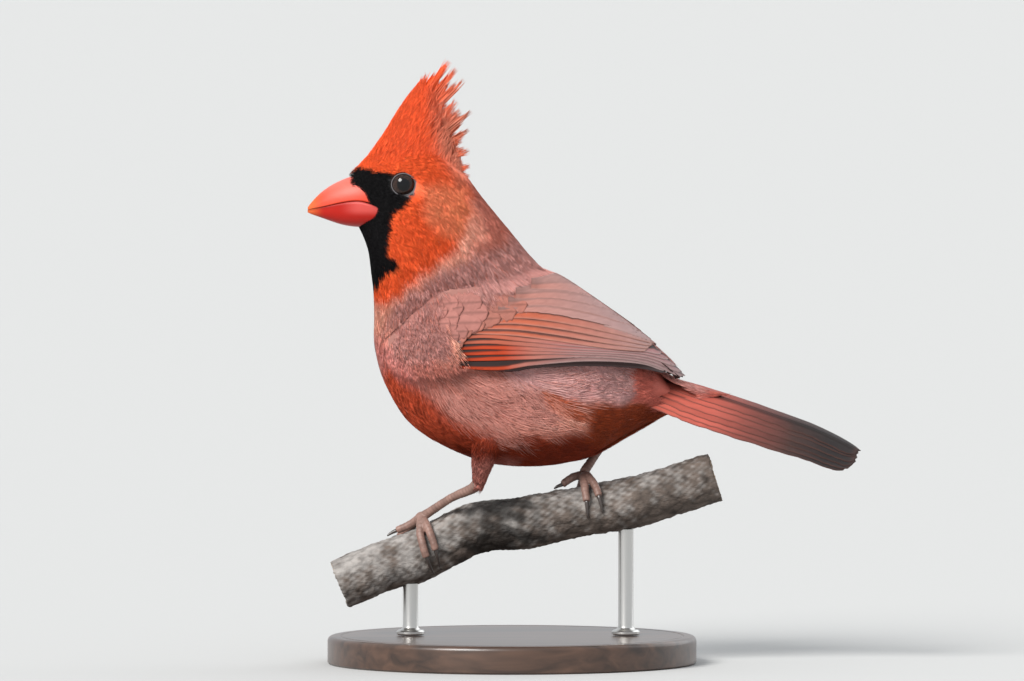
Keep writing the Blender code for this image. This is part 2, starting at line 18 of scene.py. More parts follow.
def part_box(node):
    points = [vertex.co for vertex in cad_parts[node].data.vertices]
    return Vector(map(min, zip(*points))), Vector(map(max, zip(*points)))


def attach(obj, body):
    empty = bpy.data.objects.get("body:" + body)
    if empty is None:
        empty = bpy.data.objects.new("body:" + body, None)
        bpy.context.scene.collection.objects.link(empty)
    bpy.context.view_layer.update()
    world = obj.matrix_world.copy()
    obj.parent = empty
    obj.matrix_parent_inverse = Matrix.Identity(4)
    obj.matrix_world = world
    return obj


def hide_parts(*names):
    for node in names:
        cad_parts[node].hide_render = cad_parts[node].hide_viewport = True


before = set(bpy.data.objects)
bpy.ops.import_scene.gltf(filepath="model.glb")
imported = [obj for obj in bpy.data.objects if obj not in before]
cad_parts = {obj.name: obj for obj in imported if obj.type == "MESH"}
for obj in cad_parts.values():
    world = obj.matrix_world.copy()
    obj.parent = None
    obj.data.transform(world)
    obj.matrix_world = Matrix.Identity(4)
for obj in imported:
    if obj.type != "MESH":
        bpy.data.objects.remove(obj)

bl_info = {
    "name": "Northern Cardinal",
    "version": (1, 0, 0),
    "blender": (4, 5, 0),
    "location": "View3D > Sidebar > Cardinal",
    "description": "Builds the plumage, horn, bark and stand of a perched northern cardinal",
    "category": "Add Mesh",
}

MM = 0.001
FULL_TURN = 2 * math.pi
SIDES = (("left", -1), ("right", 1))
PAINT = "plumage"  # the attribute that holds the colours of a piece

# Sections of the plumage's outline from the bill back: a point on the back and one on the
# throat or belly, both as (x, z), and the half-width.
BODY_STATIONS = (
    ((-51.8, 160.1), (-51.0, 144.4), 5.2),  # 0, bill base
    ((-45.6, 166.4), (-48.2, 138.6), 7.0),
    ((-37.0, 170.3), (-46.6, 133.6), 8.9),
    ((-26.8, 169.4), (-45.8, 127.2), 12.2),  # 3, behind the eye
    ((-17.6, 162.4), (-45.0, 120.4), 14.0),
    ((-10.4, 152.6), (-44.8, 112.0), 15.3),
    ((-1.2, 141.4), (-44.6, 102.6), 18.4),  # 6, neck base
    ((8.0, 130.4), (-41.0, 90.6), 22.4),
    ((17.6, 122.6), (-31.6, 76.8), 25.0),
    ((28.0, 114.8), (-12.0, 66.6), 25.8),  # 9, middle
    ((36.2, 107.6), (6.0, 64.2), 24.0),
    ((42.0, 101.2), (23.0, 66.8), 20.2),
    ((47.6, 96.4), (36.0, 74.0), 15.0),  # 12, vent
    ((54.0, 92.6), (47.4, 79.8), 9.6),
    ((62.6, 89.6), (59.6, 84.2), 4.4),  # 14, covert tips
)
WING_STATIONS = (
    ((-1.0, 143.6), (-44.6, 103.0), 19.2),
    ((8.8, 131.4), (-41.6, 90.6), 25.6),
    ((18.6, 124.2), (-31.6, 76.8), 28.8),
    ((29.4, 116.6), (-12.0, 66.6), 29.4),
    ((38.0, 110.4), (6.0, 64.2), 27.2),
    ((44.6, 105.2), (24.0, 66.8), 22.6),
    ((51.0, 99.5), (38.0, 74.0), 16.4),
    ((56.6, 94.0), (50.0, 81.0), 9.0),
    ((60.0, 90.0), (57.0, 85.0), 5.0),
)
# Front edge, rear edge and half-thickness, from the crown up
CREST_STATIONS = (
    ((-49.4, 160.6), (-14.8, 150.0), 10.0),
    ((-47.2, 165.0), (-15.6, 157.4), 8.8),
    ((-42.2, 172.0), (-18.0, 164.0), 6.6),
    ((-37.9, 178.9), (-21.0, 170.6), 4.6),
    ((-34.2, 184.4), (-23.8, 177.0), 3.2),
    ((-31.0, 188.3), (-26.4, 183.2), 2.1),
    ((-28.6, 191.0), (-28.0, 188.6), 1.0),
)
CREST_LOCKS = (  # root and tip of each lock, from the top down
    ((-34.8, 180.0), (-27.6, 192.0)),
    ((-33.4, 180.5), (-20.3, 196.4)),
    ((-32.6, 178.0), (-23.0, 191.6)),
    ((-31.6, 178.0), (-18.0, 194.0)),
    ((-31.0, 176.0), (-15.3, 190.3)),
    ((-30.4, 173.6), (-21.4, 185.0)),
    ((-29.6, 171.0), (-17.6, 183.4)),
    ((-29.0, 169.0), (-13.1, 180.0)),
    ((-28.6, 167.6), (-15.8, 176.6)),
    ((-28.4, 166.2), (-13.7, 173.9)),
    ((-28.0, 165.0), (-15.8, 170.2)),
    ((-27.4, 163.6), (-13.6, 167.2)),
    ((-26.6, 162.0), (-17.6, 164.6)),
    ((-26.0, 160.4), (-13.4, 162.0)),
    ((-25.0, 158.2), (-13.4, 158.8)),
)
LOCK_BARB_WIDTH = 0.13
THIGHS = {  # points from the hip down, each as (x, y, z) and a radius
    "left": ((-4.0, -13.0, 82.0, 7.6), (-8.6, -14.2, 70.0, 4.6), (-10.8, -13.6, 59.4, 2.1)),
    "right": ((38.4, 12.0, 92.0, 7.0), (37.8, 14.2, 84.0, 5.2), (34.2, 12.0, 76.6, 2.3)),
}
WING_OUTLINE = (
    (-40.0, 105.0), (-36.0, 115.4), (-23.4, 122.4), (-4.0, 124.8), (15.6, 126.2), (31.0, 121.0),
    (47.0, 108.0), (54.0, 98.5), (56.9, 93.0), (46.0, 98.4), (28.6, 101.0), (14.0, 100.5),
    (-3.3, 98.1), (-15.3, 99.3), (-26.7, 98.0), (-34.5, 97.2), (-38.6, 99.8))
SCAPULARS = (
    (-37.7, 116.4), (-29.9, 120.9), (-18.5, 124.2), (-3.9, 127.4), (15.6, 130.7), (29.9, 121.5),
    (33.8, 116.4), (29.9, 115.4), (21.4, 117.3), (12.3, 119.3), (1.0, 119.9), (-10.4, 119.3),
    (-23.4, 119.0), (-33.1, 116.4))
FLANK_PLUMES = ((-27.0, 96.0), (-10.0, 97.5), (12.0, 96.0), (20.0, 86.0), (8.0, 77.0),
                (-8.0, 75.5), (-22.0, 84.0))
CREST_FOOT = ((-49.4, 160.6), (-42.0, 172.0), (-14.8, 172.0), (-14.8, 158.0), (-24.0, 163.0),
              (-36.0, 165.5))
CREST_LIMIT = ((-52.0, 158.0), (-30.0, 188.5), (-20.8, 192.0), (-17.4, 188.0), (-16.8, 182.0),
               (-14.4, 176.0), (-14.6, 168.0), (-14.6, 157.0), (-14.8, 150.0))

EYE_CENTRE, EYE_RADIUS = (-35.2, 7.9, 156.2), 4.4
EYE_OPENING = (3.6, 3.3)  # half the length and height between the lids
PUPIL_RADIUS = 1.9
LID_FOLDS = (  # distance outside the opening, thickness, lift, and how much of a ring
    (0.25, 0.18, 0.0, 1.0),
    (1.1, 0.24, -0.5, 0.62),
    (1.8, 0.2, -0.95, 0.42),
)
LEG_HUBS = (("left", (-29.4, -2.7, 46.4)), ("right", (23.3, 2.4, 60.3)))  # where toes meet
LEG_SCALE = 1.15  # the length of one scale
SKIN_END = 13.2  # the body station where the skin has closed under the tail

TAIL_RIDGE = ((41.0, 94.9), (52.0, 92.0), (61.5, 89.2), (75.0, 84.9), (88.0, 80.4), (98.0, 76.8),
              (107.0, 72.6), (113.4, 69.0))
TAIL_HALF_WIDTHS = (13.6, 14.6, 15.0, 15.0, 14.6, 13.8, 12.0, 6.4)
TAIL_ROLL, TAIL_ROOF = 24.0, 17.0  # degrees
TAIL_FEATHER_WIDTH = 7.4
# From the middle pair out: how far out a feather lies over the tail's half-width, and how much
# shorter it is than the longest
TAIL_SHARES = (0.22, 0.42, 0.60, 0.76, 0.89, 1.0)
TAIL_CUTS = (1.0, 0.6, 0.2, 0.0, 0.6, 2.2)

# Colours of the plumage as reflectances, the later ones painted over the earlier. Some hold painted
# light: a painted highlight on the upper breast and painted shade on the underside
# The breast's red, paled to pink by a painted highlight from the rim light on the upper breast
BREAST_AND_RIM_LIGHT = (1.0, 0.43, 0.31)
MARKINGS = (  # name, outline in side view, softness of its edge, colour
    ("head", ((-55.9, 167.1), (-28.3, 202.8), (-3.9, 196.3), (-3.9, 154.1), (-13.7, 150.8),
              (-16.5, 136.2), (-29.9, 125.4), (-39.6, 116.3), (-49.4, 118.3), (-55.9, 141.1)),
     5.0, (0.96, 0.122, 0.030)),
    ("crown", ((-49.0, 164.0), (-40.0, 164.5), (-30.0, 166.0), (-22.0, 164.0), (-14.0, 168.0),
               (-10.0, 200.0), (-34.0, 200.0)), 5.0, (0.78, 0.098, 0.026)),
    ("ear coverts", ((-26.7, 155.7), (-13.7, 155.7), (-11.7, 145.9), (-16.2, 137.8),
                     (-23.4, 139.4), (-28.3, 147.6)), 6.0, (1.0, 0.25, 0.115)),
    ("rear of the crest", ((-24.0, 199.3), (-8.4, 196.3), (-8.8, 156.9), (-16.8, 155.0),
                           (-20.6, 162.0), (-23.4, 171.0), (-24.6, 182.0)), 9.0,
     (0.60, 0.20, 0.125)),
    ("middle breast", ((-50.0, 108.0), (-36.0, 103.0), (-24.0, 99.0), (-20.0, 88.0),
                       (-34.0, 84.0), (-48.0, 94.0)), 7.0, (0.70, 0.26, 0.23)),
    # Darker red, partly painted shade of the underside
    ("lower breast", ((-41.2, 96.5), (-33.0, 91.8), (-23.4, 87.3), (-13.7, 79.3), (2.6, 74.8),
                      (28.6, 74.8), (41.6, 79.3), (48.1, 79.3), (41.6, 59.8), (-3.9, 56.6),
                      (-26.7, 66.3), (-46.1, 85.8)), 7.0, (0.46, 0.066, 0.026)),
    # Painted shade of the underside: the belly painted a very dark red
    ("belly", ((-26.7, 71.8), (2.6, 71.8), (35.1, 77.3), (57.9, 83.8), (57.9, 56.6),
               (-26.7, 56.6)), 8.0, (0.18, 0.021, 0.006)),
    ("flank", ((-34.4, 98.2), (-13.7, 98.8), (15.6, 97.2), (28.6, 85.8), (15.6, 76.7),
               (-3.9, 73.8), (-18.2, 79.3), (-28.5, 88.4)), 7.0, (0.52, 0.18, 0.14)),
    ("rear flank", ((-3.9, 101.5), (44.9, 102.0), (48.1, 90.7), (35.1, 84.2), (15.6, 87.4),
                    (2.6, 90.7)), 6.0, (0.66, 0.35, 0.34)),
    # Darker, partly painted shade of the underside
    ("vent", ((25.4, 85.2), (41.6, 86.5), (70.0, 87.4), (70.0, 76.0), (35.1, 69.5),
              (25.4, 72.8)), 5.0, (0.25, 0.038, 0.009)),
    ("tail coverts", ((28.6, 96.9), (43.2, 96.9), (56.0, 96.0), (72.0, 92.0), (66.0, 87.0),
                      (44.9, 87.4), (36.7, 85.2), (28.6, 87.1)), 3.0, (0.52, 0.28, 0.27)),
    ("flank patch", ((9.6, 89.0), (15.6, 89.4), (23.7, 86.5), (24.7, 79.4), (19.5, 79.4),
                     (14.0, 84.2)), 1.6, (0.52, 0.125, 0.06)),
    ("thigh", ((-16.0, 66.5), (3.0, 66.5), (0.0, 54.0), (-16.0, 54.0)), 5.0,
     (0.36, 0.125, 0.10)),
    ("tail base", ((41.5, 99.0), (41.0, 91.0), (38.6, 86.0), (80.0, 72.8), (80.0, 99.0)), 1.6,
     (0.52, 0.13, 0.095)),
    ("nape", ((-15.2, 164.6), (-3.9, 160.3), (12.1, 132.1), (-3.9, 128.7), (-13.7, 130.9),
              (-8.1, 139.4), (-12.3, 149.2)), 6.0, (0.56, 0.18, 0.13)),
    ("mantle", ((-42.9, 105.9), (-37.7, 116.3), (-27.3, 125.7), (-15.0, 131.2), (-3.9, 134.8),
                (5.9, 142.4), (64.4, 108.3), (64.4, 85.8), (28.6, 105.3), (-10.4, 110.2),
                (-29.9, 115.0)), 4.0, (0.52, 0.245, 0.22)),
    ("lesser coverts", ((-39.0, 99.5), (-39.5, 105.0), (-36.0, 114.0), (-30.0, 119.0),
                        (-19.0, 120.0), (-19.0, 99.0), (-30.0, 98.0)), 3.0, (0.50, 0.225, 0.20)),
)
MASK = ((-60.0, 157.3), (-52.0, 160.4), (-50.1, 161.9), (-47.5, 161.2), (-43.6, 160.1),
        (-39.3, 159.8), (-37.4, 158.6), (-36.7, 156.0), (-34.0, 154.5), (-31.4, 153.2),
        (-33.5, 149.8), (-34.3, 148.2), (-37.4, 146.7), (-38.4, 146.2), (-39.1, 141.4),
        (-39.6, 136.5), (-40.0, 132.6), (-37.4, 131.0), (-36.6, 128.4), (-39.0, 127.1),
        (-41.0, 125.8), (-43.6, 121.5), (-46.5, 121.2), (-50.0, 130.0), (-56.1, 137.8),
        (-60.3, 142.3))
MASK_COLOUR = (0.0032, 0.0027, 0.0033)
PALE_TIP, RUSTY = (0.74, 0.44, 0.38), (0.58, 0.12, 0.055)


def spline(rows, t):
    """The values at t of a smooth curve through the rows, the first of which is at t = 0."""
    rows = np.asarray(rows, float)
    t = np.atleast_1d(np.asarray(t, float))
    start = np.clip(np.floor(t).astype(int), 0, len(rows) - 2)
    f = (t - start)[:, None]
    ends = np.vstack([2 * rows[0] - rows[1], rows, 2 * rows[-1] - rows[-2]])
    before, here, after, beyond = (ends[start + k] for k in range(4))
    return 0.5 * (2 * here + (after - before) * f
                  + (2 * before - 5 * here + 4 * after - beyond) * f ** 2
                  + (3 * here - before - 3 * after + beyond) * f ** 3)


def unit(vectors):
    """Vectors made one long."""
    return vectors / np.maximum(np.linalg.norm(vectors, axis=-1, keepdims=True), 1e-12)


def dot(one, two):
    """The dot product, kept as a last axis of one."""
    return np.sum(one * two, axis=-1, keepdims=True)


def ripple(points, size, seed):
    """A smooth unevenness from -1 to 1 whose lumps are about one size across."""
    rng = np.random.default_rng(seed)
    total = np.zeros(points.shape[:-1])
    for _ in range(7):
        wave = rng.normal(size=3) * FULL_TURN / (2.6 * size)
        total += np.sin(points @ wave + rng.uniform(0, FULL_TURN))
    return total / 3.2


def edge_distance(x, z, start, stop):
    """How far side-view places are from the straight line between two points."""
    (x0, z0), (x1, z1) = start, stop
    run, rise = x1 - x0, z1 - z0
    share = np.clip(((x - x0) * run + (z - z0) * rise) / (run * run + rise * rise), 0, 1)
    return np.hypot(x - x0 - share * run, z - z0 - share * rise)


def depth_inside(points, outline):
    """How far points of a side view lie inside a closed outline, negative outside it."""
    x, z = points[..., 0], points[..., -1]
    corners = np.asarray(outline, float)
    nearest = np.full(x.shape, np.inf)
    inside = np.zeros(x.shape, bool)
    for (x0, z0), (x1, z1) in zip(corners, np.roll(corners, -1, axis=0)):
        nearest = np.minimum(nearest, edge_distance(x, z, (x0, z0), (x1, z1)))
        if z1 != z0:
            crosses = (z0 > z) != (z1 > z)
            inside ^= crosses & (x < x0 + (z - z0) * (x1 - x0) / (z1 - z0))
    return np.where(inside, nearest, -nearest)


def smooth_step(value):
    """0 below 0 and 1 above 1, with an even bend between."""
    value = np.clip(value, 0, 1)
    return value * value * (3 - 2 * value)


def on_side(angle, side):
    """Whether angles round a form lie on the given side of the bird."""
    return (angle > math.pi) if side < 0 else (angle <= math.pi)


def half_turn(side):
    """The range of angles round a form that makes up one side of the bird."""
    return (math.pi, FULL_TURN) if side < 0 else (0, math.pi)


class Form:
    """A smooth closed form through sections, which gives feathers their places on it."""

    COLUMNS = 200

    def __init__(self, stations, fullness=2.15, rows=320):
        table = np.array([(*back, *belly, half_width) for back, belly, half_width in stations])
        self.last = len(table) - 1
        self.t = np.linspace(0, self.last, rows)
        self.angle = np.linspace(0, FULL_TURN, self.COLUMNS, endpoint=False)
        ring = spline(table, self.t)
        centre, half = (ring[:, 0:2] + ring[:, 2:4]) / 2, (ring[:, 0:2] - ring[:, 2:4]) / 2
        up = np.sign(np.cos(self.angle)) * np.abs(np.cos(self.angle)) ** (2 / fullness)
        out = np.sign(np.sin(self.angle)) * np.abs(np.sin(self.angle)) ** (2 / fullness)
        points = np.stack([centre[:, :1] + half[:, :1] * up, ring[:, 4:5] * out,
                           centre[:, 1:] + half[:, 1:] * up], axis=-1)
        self.set_points(points, np.stack([centre[:, 0], 0 * centre[:, 0], centre[:, 1]], -1))

    def set_points(self, points, centres):
        """Takes rings of points round centres, and works out their directions."""
        along = np.gradient(points, self.t, axis=0)
        gap = self.angle[1]
        around = (np.roll(points, -1, axis=1) - np.roll(points, 1, axis=1)) / (2 * gap)
        outward = unit(np.cross(around, along))
        outward *= np.sign(dot(outward, points - centres[:, None]) + 1e-9)
        self.grid = np.concatenate([points, outward, along, around], axis=-1)

    def at(self, t, angle):
        """Points, outward directions, and the ways along and around the form."""
        held = np.clip(t, 0, self.last)
        row = held / self.last * (len(self.t) - 1)
        low = np.minimum(row.astype(int), len(self.t) - 2)
        column = (angle / FULL_TURN) % 1 * self.COLUMNS
        left = column.astype(int) % self.COLUMNS
        right = (left + 1) % self.COLUMNS
        f, g = (row - low)[..., None], (column - np.floor(column))[..., None]
        mixed = ((1 - f) * ((1 - g) * self.grid[low, left] + g * self.grid[low, right])
                 + f * ((1 - g) * self.grid[low + 1, left] + g * self.grid[low + 1, right]))
        point, outward, along, around = np.split(mixed, 4, axis=-1)
        return point + (t - held)[..., None] * along, unit(outward), along, around

    def walk(self, t, angle, direction, distance):
        """Takes steps of the given lengths over the form, and turns the direction with it."""
        _, outward, along, around = self.at(t, angle)
        direction = unit(direction - outward * dot(direction, outward))
        aa, ab, bb = dot(along, along), dot(along, around), dot(around, around)
        da, db = dot(direction, along), dot(direction, around)
        spread = np.maximum(aa * bb - ab * ab, 1e-6)
        steps = distance[..., None] * np.concatenate([da * bb - db * ab, db * aa - da * ab],
                                                     axis=-1) / spread
        return t + steps[..., 0], angle + steps[..., 1], direction

    def roots(self, start, stop, spacing, rng, keep):
        """Places for feathers in staggered rows, at a distance apart that a function of t gives.

        Another function says, from the points and their angles, which of them are kept.
        """
        places_t, places_angle = [], []
        t = start
        while t < stop:
            _, _, along, around = self.at(np.full(self.COLUMNS, t), self.angle)
            reach = np.linalg.norm(along, axis=1)
            pitch = spacing(t)
            step = pitch / reach.max()
            width = np.linalg.norm(around, axis=1) * self.angle[1]
            share = width * reach / reach.max()
            total = np.cumsum(share)
            count = max(3, int(total[-1] / pitch))
            marks = (np.arange(count) + rng.uniform(0, 1) + rng.normal(0, 0.22, count)) % count
            spots = np.interp(marks / count * total[-1], np.concatenate([[0], total]),
                              np.concatenate([self.angle, [FULL_TURN]]))
            places_t.append(t + rng.uniform(-0.5, 0.5, count) * step)
            places_angle.append(spots)
            t += step
        t, angle = np.concatenate(places_t), np.concatenate(places_angle)
        kept = keep(self.at(t, angle)[0], angle)
        return t[kept], angle[kept]


class TubeForm(Form):
    """A form round a path of points with radii, for the feathered thighs."""

    def __init__(self, joints, rows=80):
        self.last = len(joints) - 1
        self.t = np.linspace(0, self.last, rows)
        self.angle = np.linspace(0, FULL_TURN, self.COLUMNS, endpoint=False)
        ring = spline(joints, self.t)
        centre, radius = ring[:, :3], ring[:, 3]
        way = unit(np.gradient(centre, self.t, axis=0))
        side = unit(np.cross(way, [0.0, 1.0, 0.0]))
        up = np.cross(side, way)
        points = (centre[:, None] + radius[:, None, None]
                  * (side[:, None] * np.cos(self.angle)[None, :, None]
                     + up[:, None] * np.sin(self.angle)[None, :, None]))
        self.set_points(points, centre)


body_form = Form(BODY_STATIONS)
wing_form = Form(WING_STATIONS)
WING_SPAN = (0.0, 7.5)  # the stations of the wings' form that small feathers grow on
crest_form = Form(CREST_STATIONS, fullness=1.8, rows=160)
thigh_forms = {side: TubeForm(joints) for side, joints in THIGHS.items()}


def plumage_colour(points):
    """The coat's colour at points in millimetres, the same on both sides of the bird."""
    side_view = points[..., (0, 2)]
    wander = np.stack([ripple(points, 5.0, 11), ripple(points, 5.0, 12)], axis=-1)
    side_view = side_view + wander * 0.9
    colour = np.broadcast_to(np.array(BREAST_AND_RIM_LIGHT), points.shape).copy()
    for _, outline, softness, paint in MARKINGS:
        share = smooth_step(0.5 + depth_inside(side_view, outline) / softness)[..., None]
        colour = blend(colour, paint, share)
    return colour


def mask_share(points):
    """1 in the black mask round the bill and 0 outside it, with a ragged edge."""
    ragged = ripple(points, 1.1, 21) * 0.45
    return smooth_step(0.5 + (depth_inside(points, MASK) + ragged) / 0.7)[..., None]


def linked(material, kind, **values):
    """A new shader node with the given settings."""
    node = material.node_tree.nodes.new(kind)
    for name, value in values.items():
        setattr(node, name, value)
    return node


def new_material(name, roughness, specular=0.5, sheen=0.0, coat=0.0):
    """A Principled material, and its shader node."""
    material = bpy.data.materials.new(name)
    material.use_nodes = True
    shader = material.node_tree.nodes["Principled BSDF"]
    shader.inputs["Roughness"].default_value = roughness
    shader.inputs["Specular IOR Level"].default_value = specular
    shader.inputs["Sheen Weight"].default_value = sheen
    shader.inputs["Coat Weight"].default_value = coat
    return material, shader


def fine_noise(material, scale, stretch=(1, 1, 1), barbs=False, **values):
    """Noise in Object coordinates, or along and across the barbs of a feather."""
    if barbs:
        place = linked(material, "ShaderNodeUVMap", uv_map="Barbs").outputs["UV"]
    else:
        place = linked(material, "ShaderNodeTexCoord").outputs["Object"]
    mapping = linked(material, "ShaderNodeMapping")
    mapping.inputs["Scale"].default_value = stretch
    noise = linked(material, "ShaderNodeTexNoise")
    noise.inputs["Scale"].default_value = scale
    for name, value in values.items():
        noise.inputs[name].default_value = value
    material.node_tree.links.new(place, mapping.inputs["Vector"])
    material.node_tree.links.new(mapping.outputs["Vector"], noise.inputs["Vector"])
    return noise


def painted_colour(material, shader, grain, scale, **place):
    """Takes the base colour from the paint and breaks it up with a fine grain."""
    links = material.node_tree.links
    paint = linked(material, "ShaderNodeAttribute", attribute_name=PAINT)
    noise = fine_noise(material, scale, Detail=3.0, **place)
    spread = linked(material, "ShaderNodeMapRange")
    spread.inputs["To Min"].default_value = 1 - grain
    spread.inputs["To Max"].default_value = 1 + grain
    mix = linked(material, "ShaderNodeVectorMath", operation="SCALE")
    links.new(noise.outputs["Fac"], spread.inputs["Value"])
    links.new(paint.outputs["Color"], mix.inputs[0])
    links.new(spread.outputs["Result"], mix.inputs["Scale"])
    links.new(mix.outputs["Vector"], shader.inputs["Base Color"])
    return noise


def bumped(material, shader, height, strength, distance):
    """Sends a height through a bump to the shader."""
    bump = linked(material, "ShaderNodeBump")
    bump.inputs["Strength"].default_value = strength
    bump.inputs["Distance"].default_value = distance
    material.node_tree.links.new(height, bump.inputs["Height"])
    material.node_tree.links.new(bump.outputs["Normal"], shader.inputs["Normal"])


def deselect():
    """Leaves edit mode and selects nothing."""
    if bpy.context.object and bpy.context.object.mode != "OBJECT":
        bpy.ops.object.mode_set(mode="OBJECT")
    bpy.ops.object.select_all(action="DESELECT")


def make_active(obj):
    """Selects one object alone."""
    deselect()
    obj.select_set(True)
    bpy.context.view_layer.objects.active = obj


def face_outwards(obj):
    """Turns all faces of a closed piece outwards."""
    make_active(obj)
    bpy.ops.object.mode_set(mode="EDIT")
    bpy.ops.mesh.select_all(action="SELECT")
    bpy.ops.mesh.normals_make_consistent(inside=False)
    bpy.ops.object.mode_set(mode="OBJECT")


def blend(one, two, share):
    """A colour that goes from one to two as the share goes from 0 to 1."""
    return np.asarray(one) + (np.asarray(two) - np.asarray(one)) * share


def paint_vertices(obj, colours):
    """Writes one colour for each vertex into the paint attribute."""
    layer = obj.data.attributes.new(PAINT, "FLOAT_COLOR", "POINT")
    rgba = np.ones((len(obj.data.vertices), 4), np.float32)
    rgba[:, :3] = colours
    layer.data.foreach_set("color", rgba.ravel())


def vertex_values(obj, kind):
    """Three numbers for each vertex of an object."""
    values = np.empty(len(obj.data.vertices) * 3)
    obj.data.vertices.foreach_get(kind, values)
    return values.reshape(-1, 3)


def vertex_points(obj):
    """The object's vertices in millimetres."""
    return vertex_values(obj, "co") / MM


def set_vertex_points(obj, points):
    """Moves the object's vertices to points in millimetres."""
    obj.data.vertices.foreach_set("co", (points * MM).ravel())
    obj.data.update()


def settle(obj, material, slot, *nodes):
    """Gives a finished piece its material and its body, and hides the nodes it stands for; the slot
    is not used.
    """
    obj.data.materials.clear()
    obj.data.materials.append(material)
    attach(obj, "root")
    if nodes:
        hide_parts(*nodes)


def mesh_piece(name, points, faces, colours, bake_uv):
    """An object from arrays of points in millimetres, of faces, colours and places to bake."""
    mesh = bpy.data.meshes.new(name)
    corners = faces.shape[1]
    mesh.vertices.add(len(points))
    mesh.vertices.foreach_set("co", (points * MM).astype(np.float32).ravel())
    mesh.loops.add(faces.size)
    mesh.loops.foreach_set("vertex_index", faces.astype(np.int32).ravel())
    mesh.polygons.add(len(faces))
    mesh.polygons.foreach_set("loop_start", np.arange(0, faces.size, corners, dtype=np.int32))
    mesh.polygons.foreach_set("use_smooth", np.ones(len(faces), bool))
    mesh.update(calc_edges=True)
    obj = bpy.data.objects.new(name, mesh)
    bpy.context.scene.collection.objects.link(obj)
    paint_vertices(obj, colours)
    corner_places(obj, "OFBake", bake_uv[faces.ravel()])
    return obj


def corner_places(obj, name, places):
    """Writes a UV map from one place for each corner of the faces."""
    layer = obj.data.uv_layers.new(name=name)
    layer.data.foreach_set("uv", places.astype(np.float32).ravel())


def wrapped_grid(name, points):
    """A grid primitive laid over rings of points, sewn into a tube and closed at both ends."""
    rings, sides = points.shape[:2]
    deselect()
    bpy.ops.mesh.primitive_grid_add(x_subdivisions=sides, y_subdivisions=rings - 1)
    obj = bpy.context.object
    obj.name = obj.data.name = name
    whole = np.concatenate([points, points[:, :1]], axis=1)
    set_vertex_points(obj, whole.reshape(-1, 3))
    bpy.ops.object.mode_set(mode="EDIT")
    bpy.ops.mesh.select_all(action="SELECT")
    bpy.ops.mesh.remove_doubles(threshold=1e-7)
    bpy.ops.mesh.select_all(action="DESELECT")
    bpy.ops.mesh.select_non_manifold()
    bpy.ops.mesh.fill_holes(sides=0)
    bpy.ops.mesh.select_all(action="SELECT")
    bpy.ops.mesh.normals_make_consistent(inside=False)
    bpy.ops.object.mode_set(mode="OBJECT")
    return obj


def apply_modifier(obj, kind, **settings):
    """Adds a modifier with the given settings and applies it."""
    make_active(obj)
    modifier = obj.modifiers.new(kind.lower(), kind)
    for name, value in settings.items():
        setattr(modifier, name, value)
    bpy.ops.object.modifier_apply(modifier=modifier.name)


def join(name, objects):
    """Joins objects into one of the given name."""
    deselect()
    for obj in objects:
        obj.select_set(True)
    bpy.context.view_layer.objects.active = objects[0]
    if len(objects) > 1:
        bpy.ops.object.join()
    joined = bpy.context.view_layer.objects.active
    joined.name = joined.data.name = name
    return joined


def node_copy(name, nodes):
    """Copies of CAD nodes with their loose triangles merged, joined into one object."""
    copies = []
    for node in nodes:
        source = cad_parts[node]
        copy = bpy.data.objects.new(f"copy {node}", source.data.copy())
        bpy.context.scene.collection.objects.link(copy)
        copies.append(copy)
    obj = join(name, copies)
    bpy.ops.object.mode_set(mode="EDIT")
    bpy.ops.mesh.select_all(action="SELECT")
    bpy.ops.mesh.remove_doubles(threshold=2e-6)
    bpy.ops.object.mode_set(mode="OBJECT")
    obj.data.materials.clear()
    return obj


def smoothed_copy(name, nodes, voxel, rounds):
    """Copies of CAD nodes fused into one even mesh and smoothed."""
    obj = node_copy(name, nodes)
    apply_modifier(obj, "REMESH", mode="VOXEL", voxel_size=voxel * MM, use_smooth_shade=True)
    apply_modifier(obj, "SMOOTH", factor=0.5, iterations=rounds)
    return obj


# Sizes of a tuft and of a barb on the map that the coat's colours are baked to
PATCH_LENGTH, PATCH_HALF_WIDTH, BARB_HALF_WIDTH = 0.0028, 0.0012, 0.00012


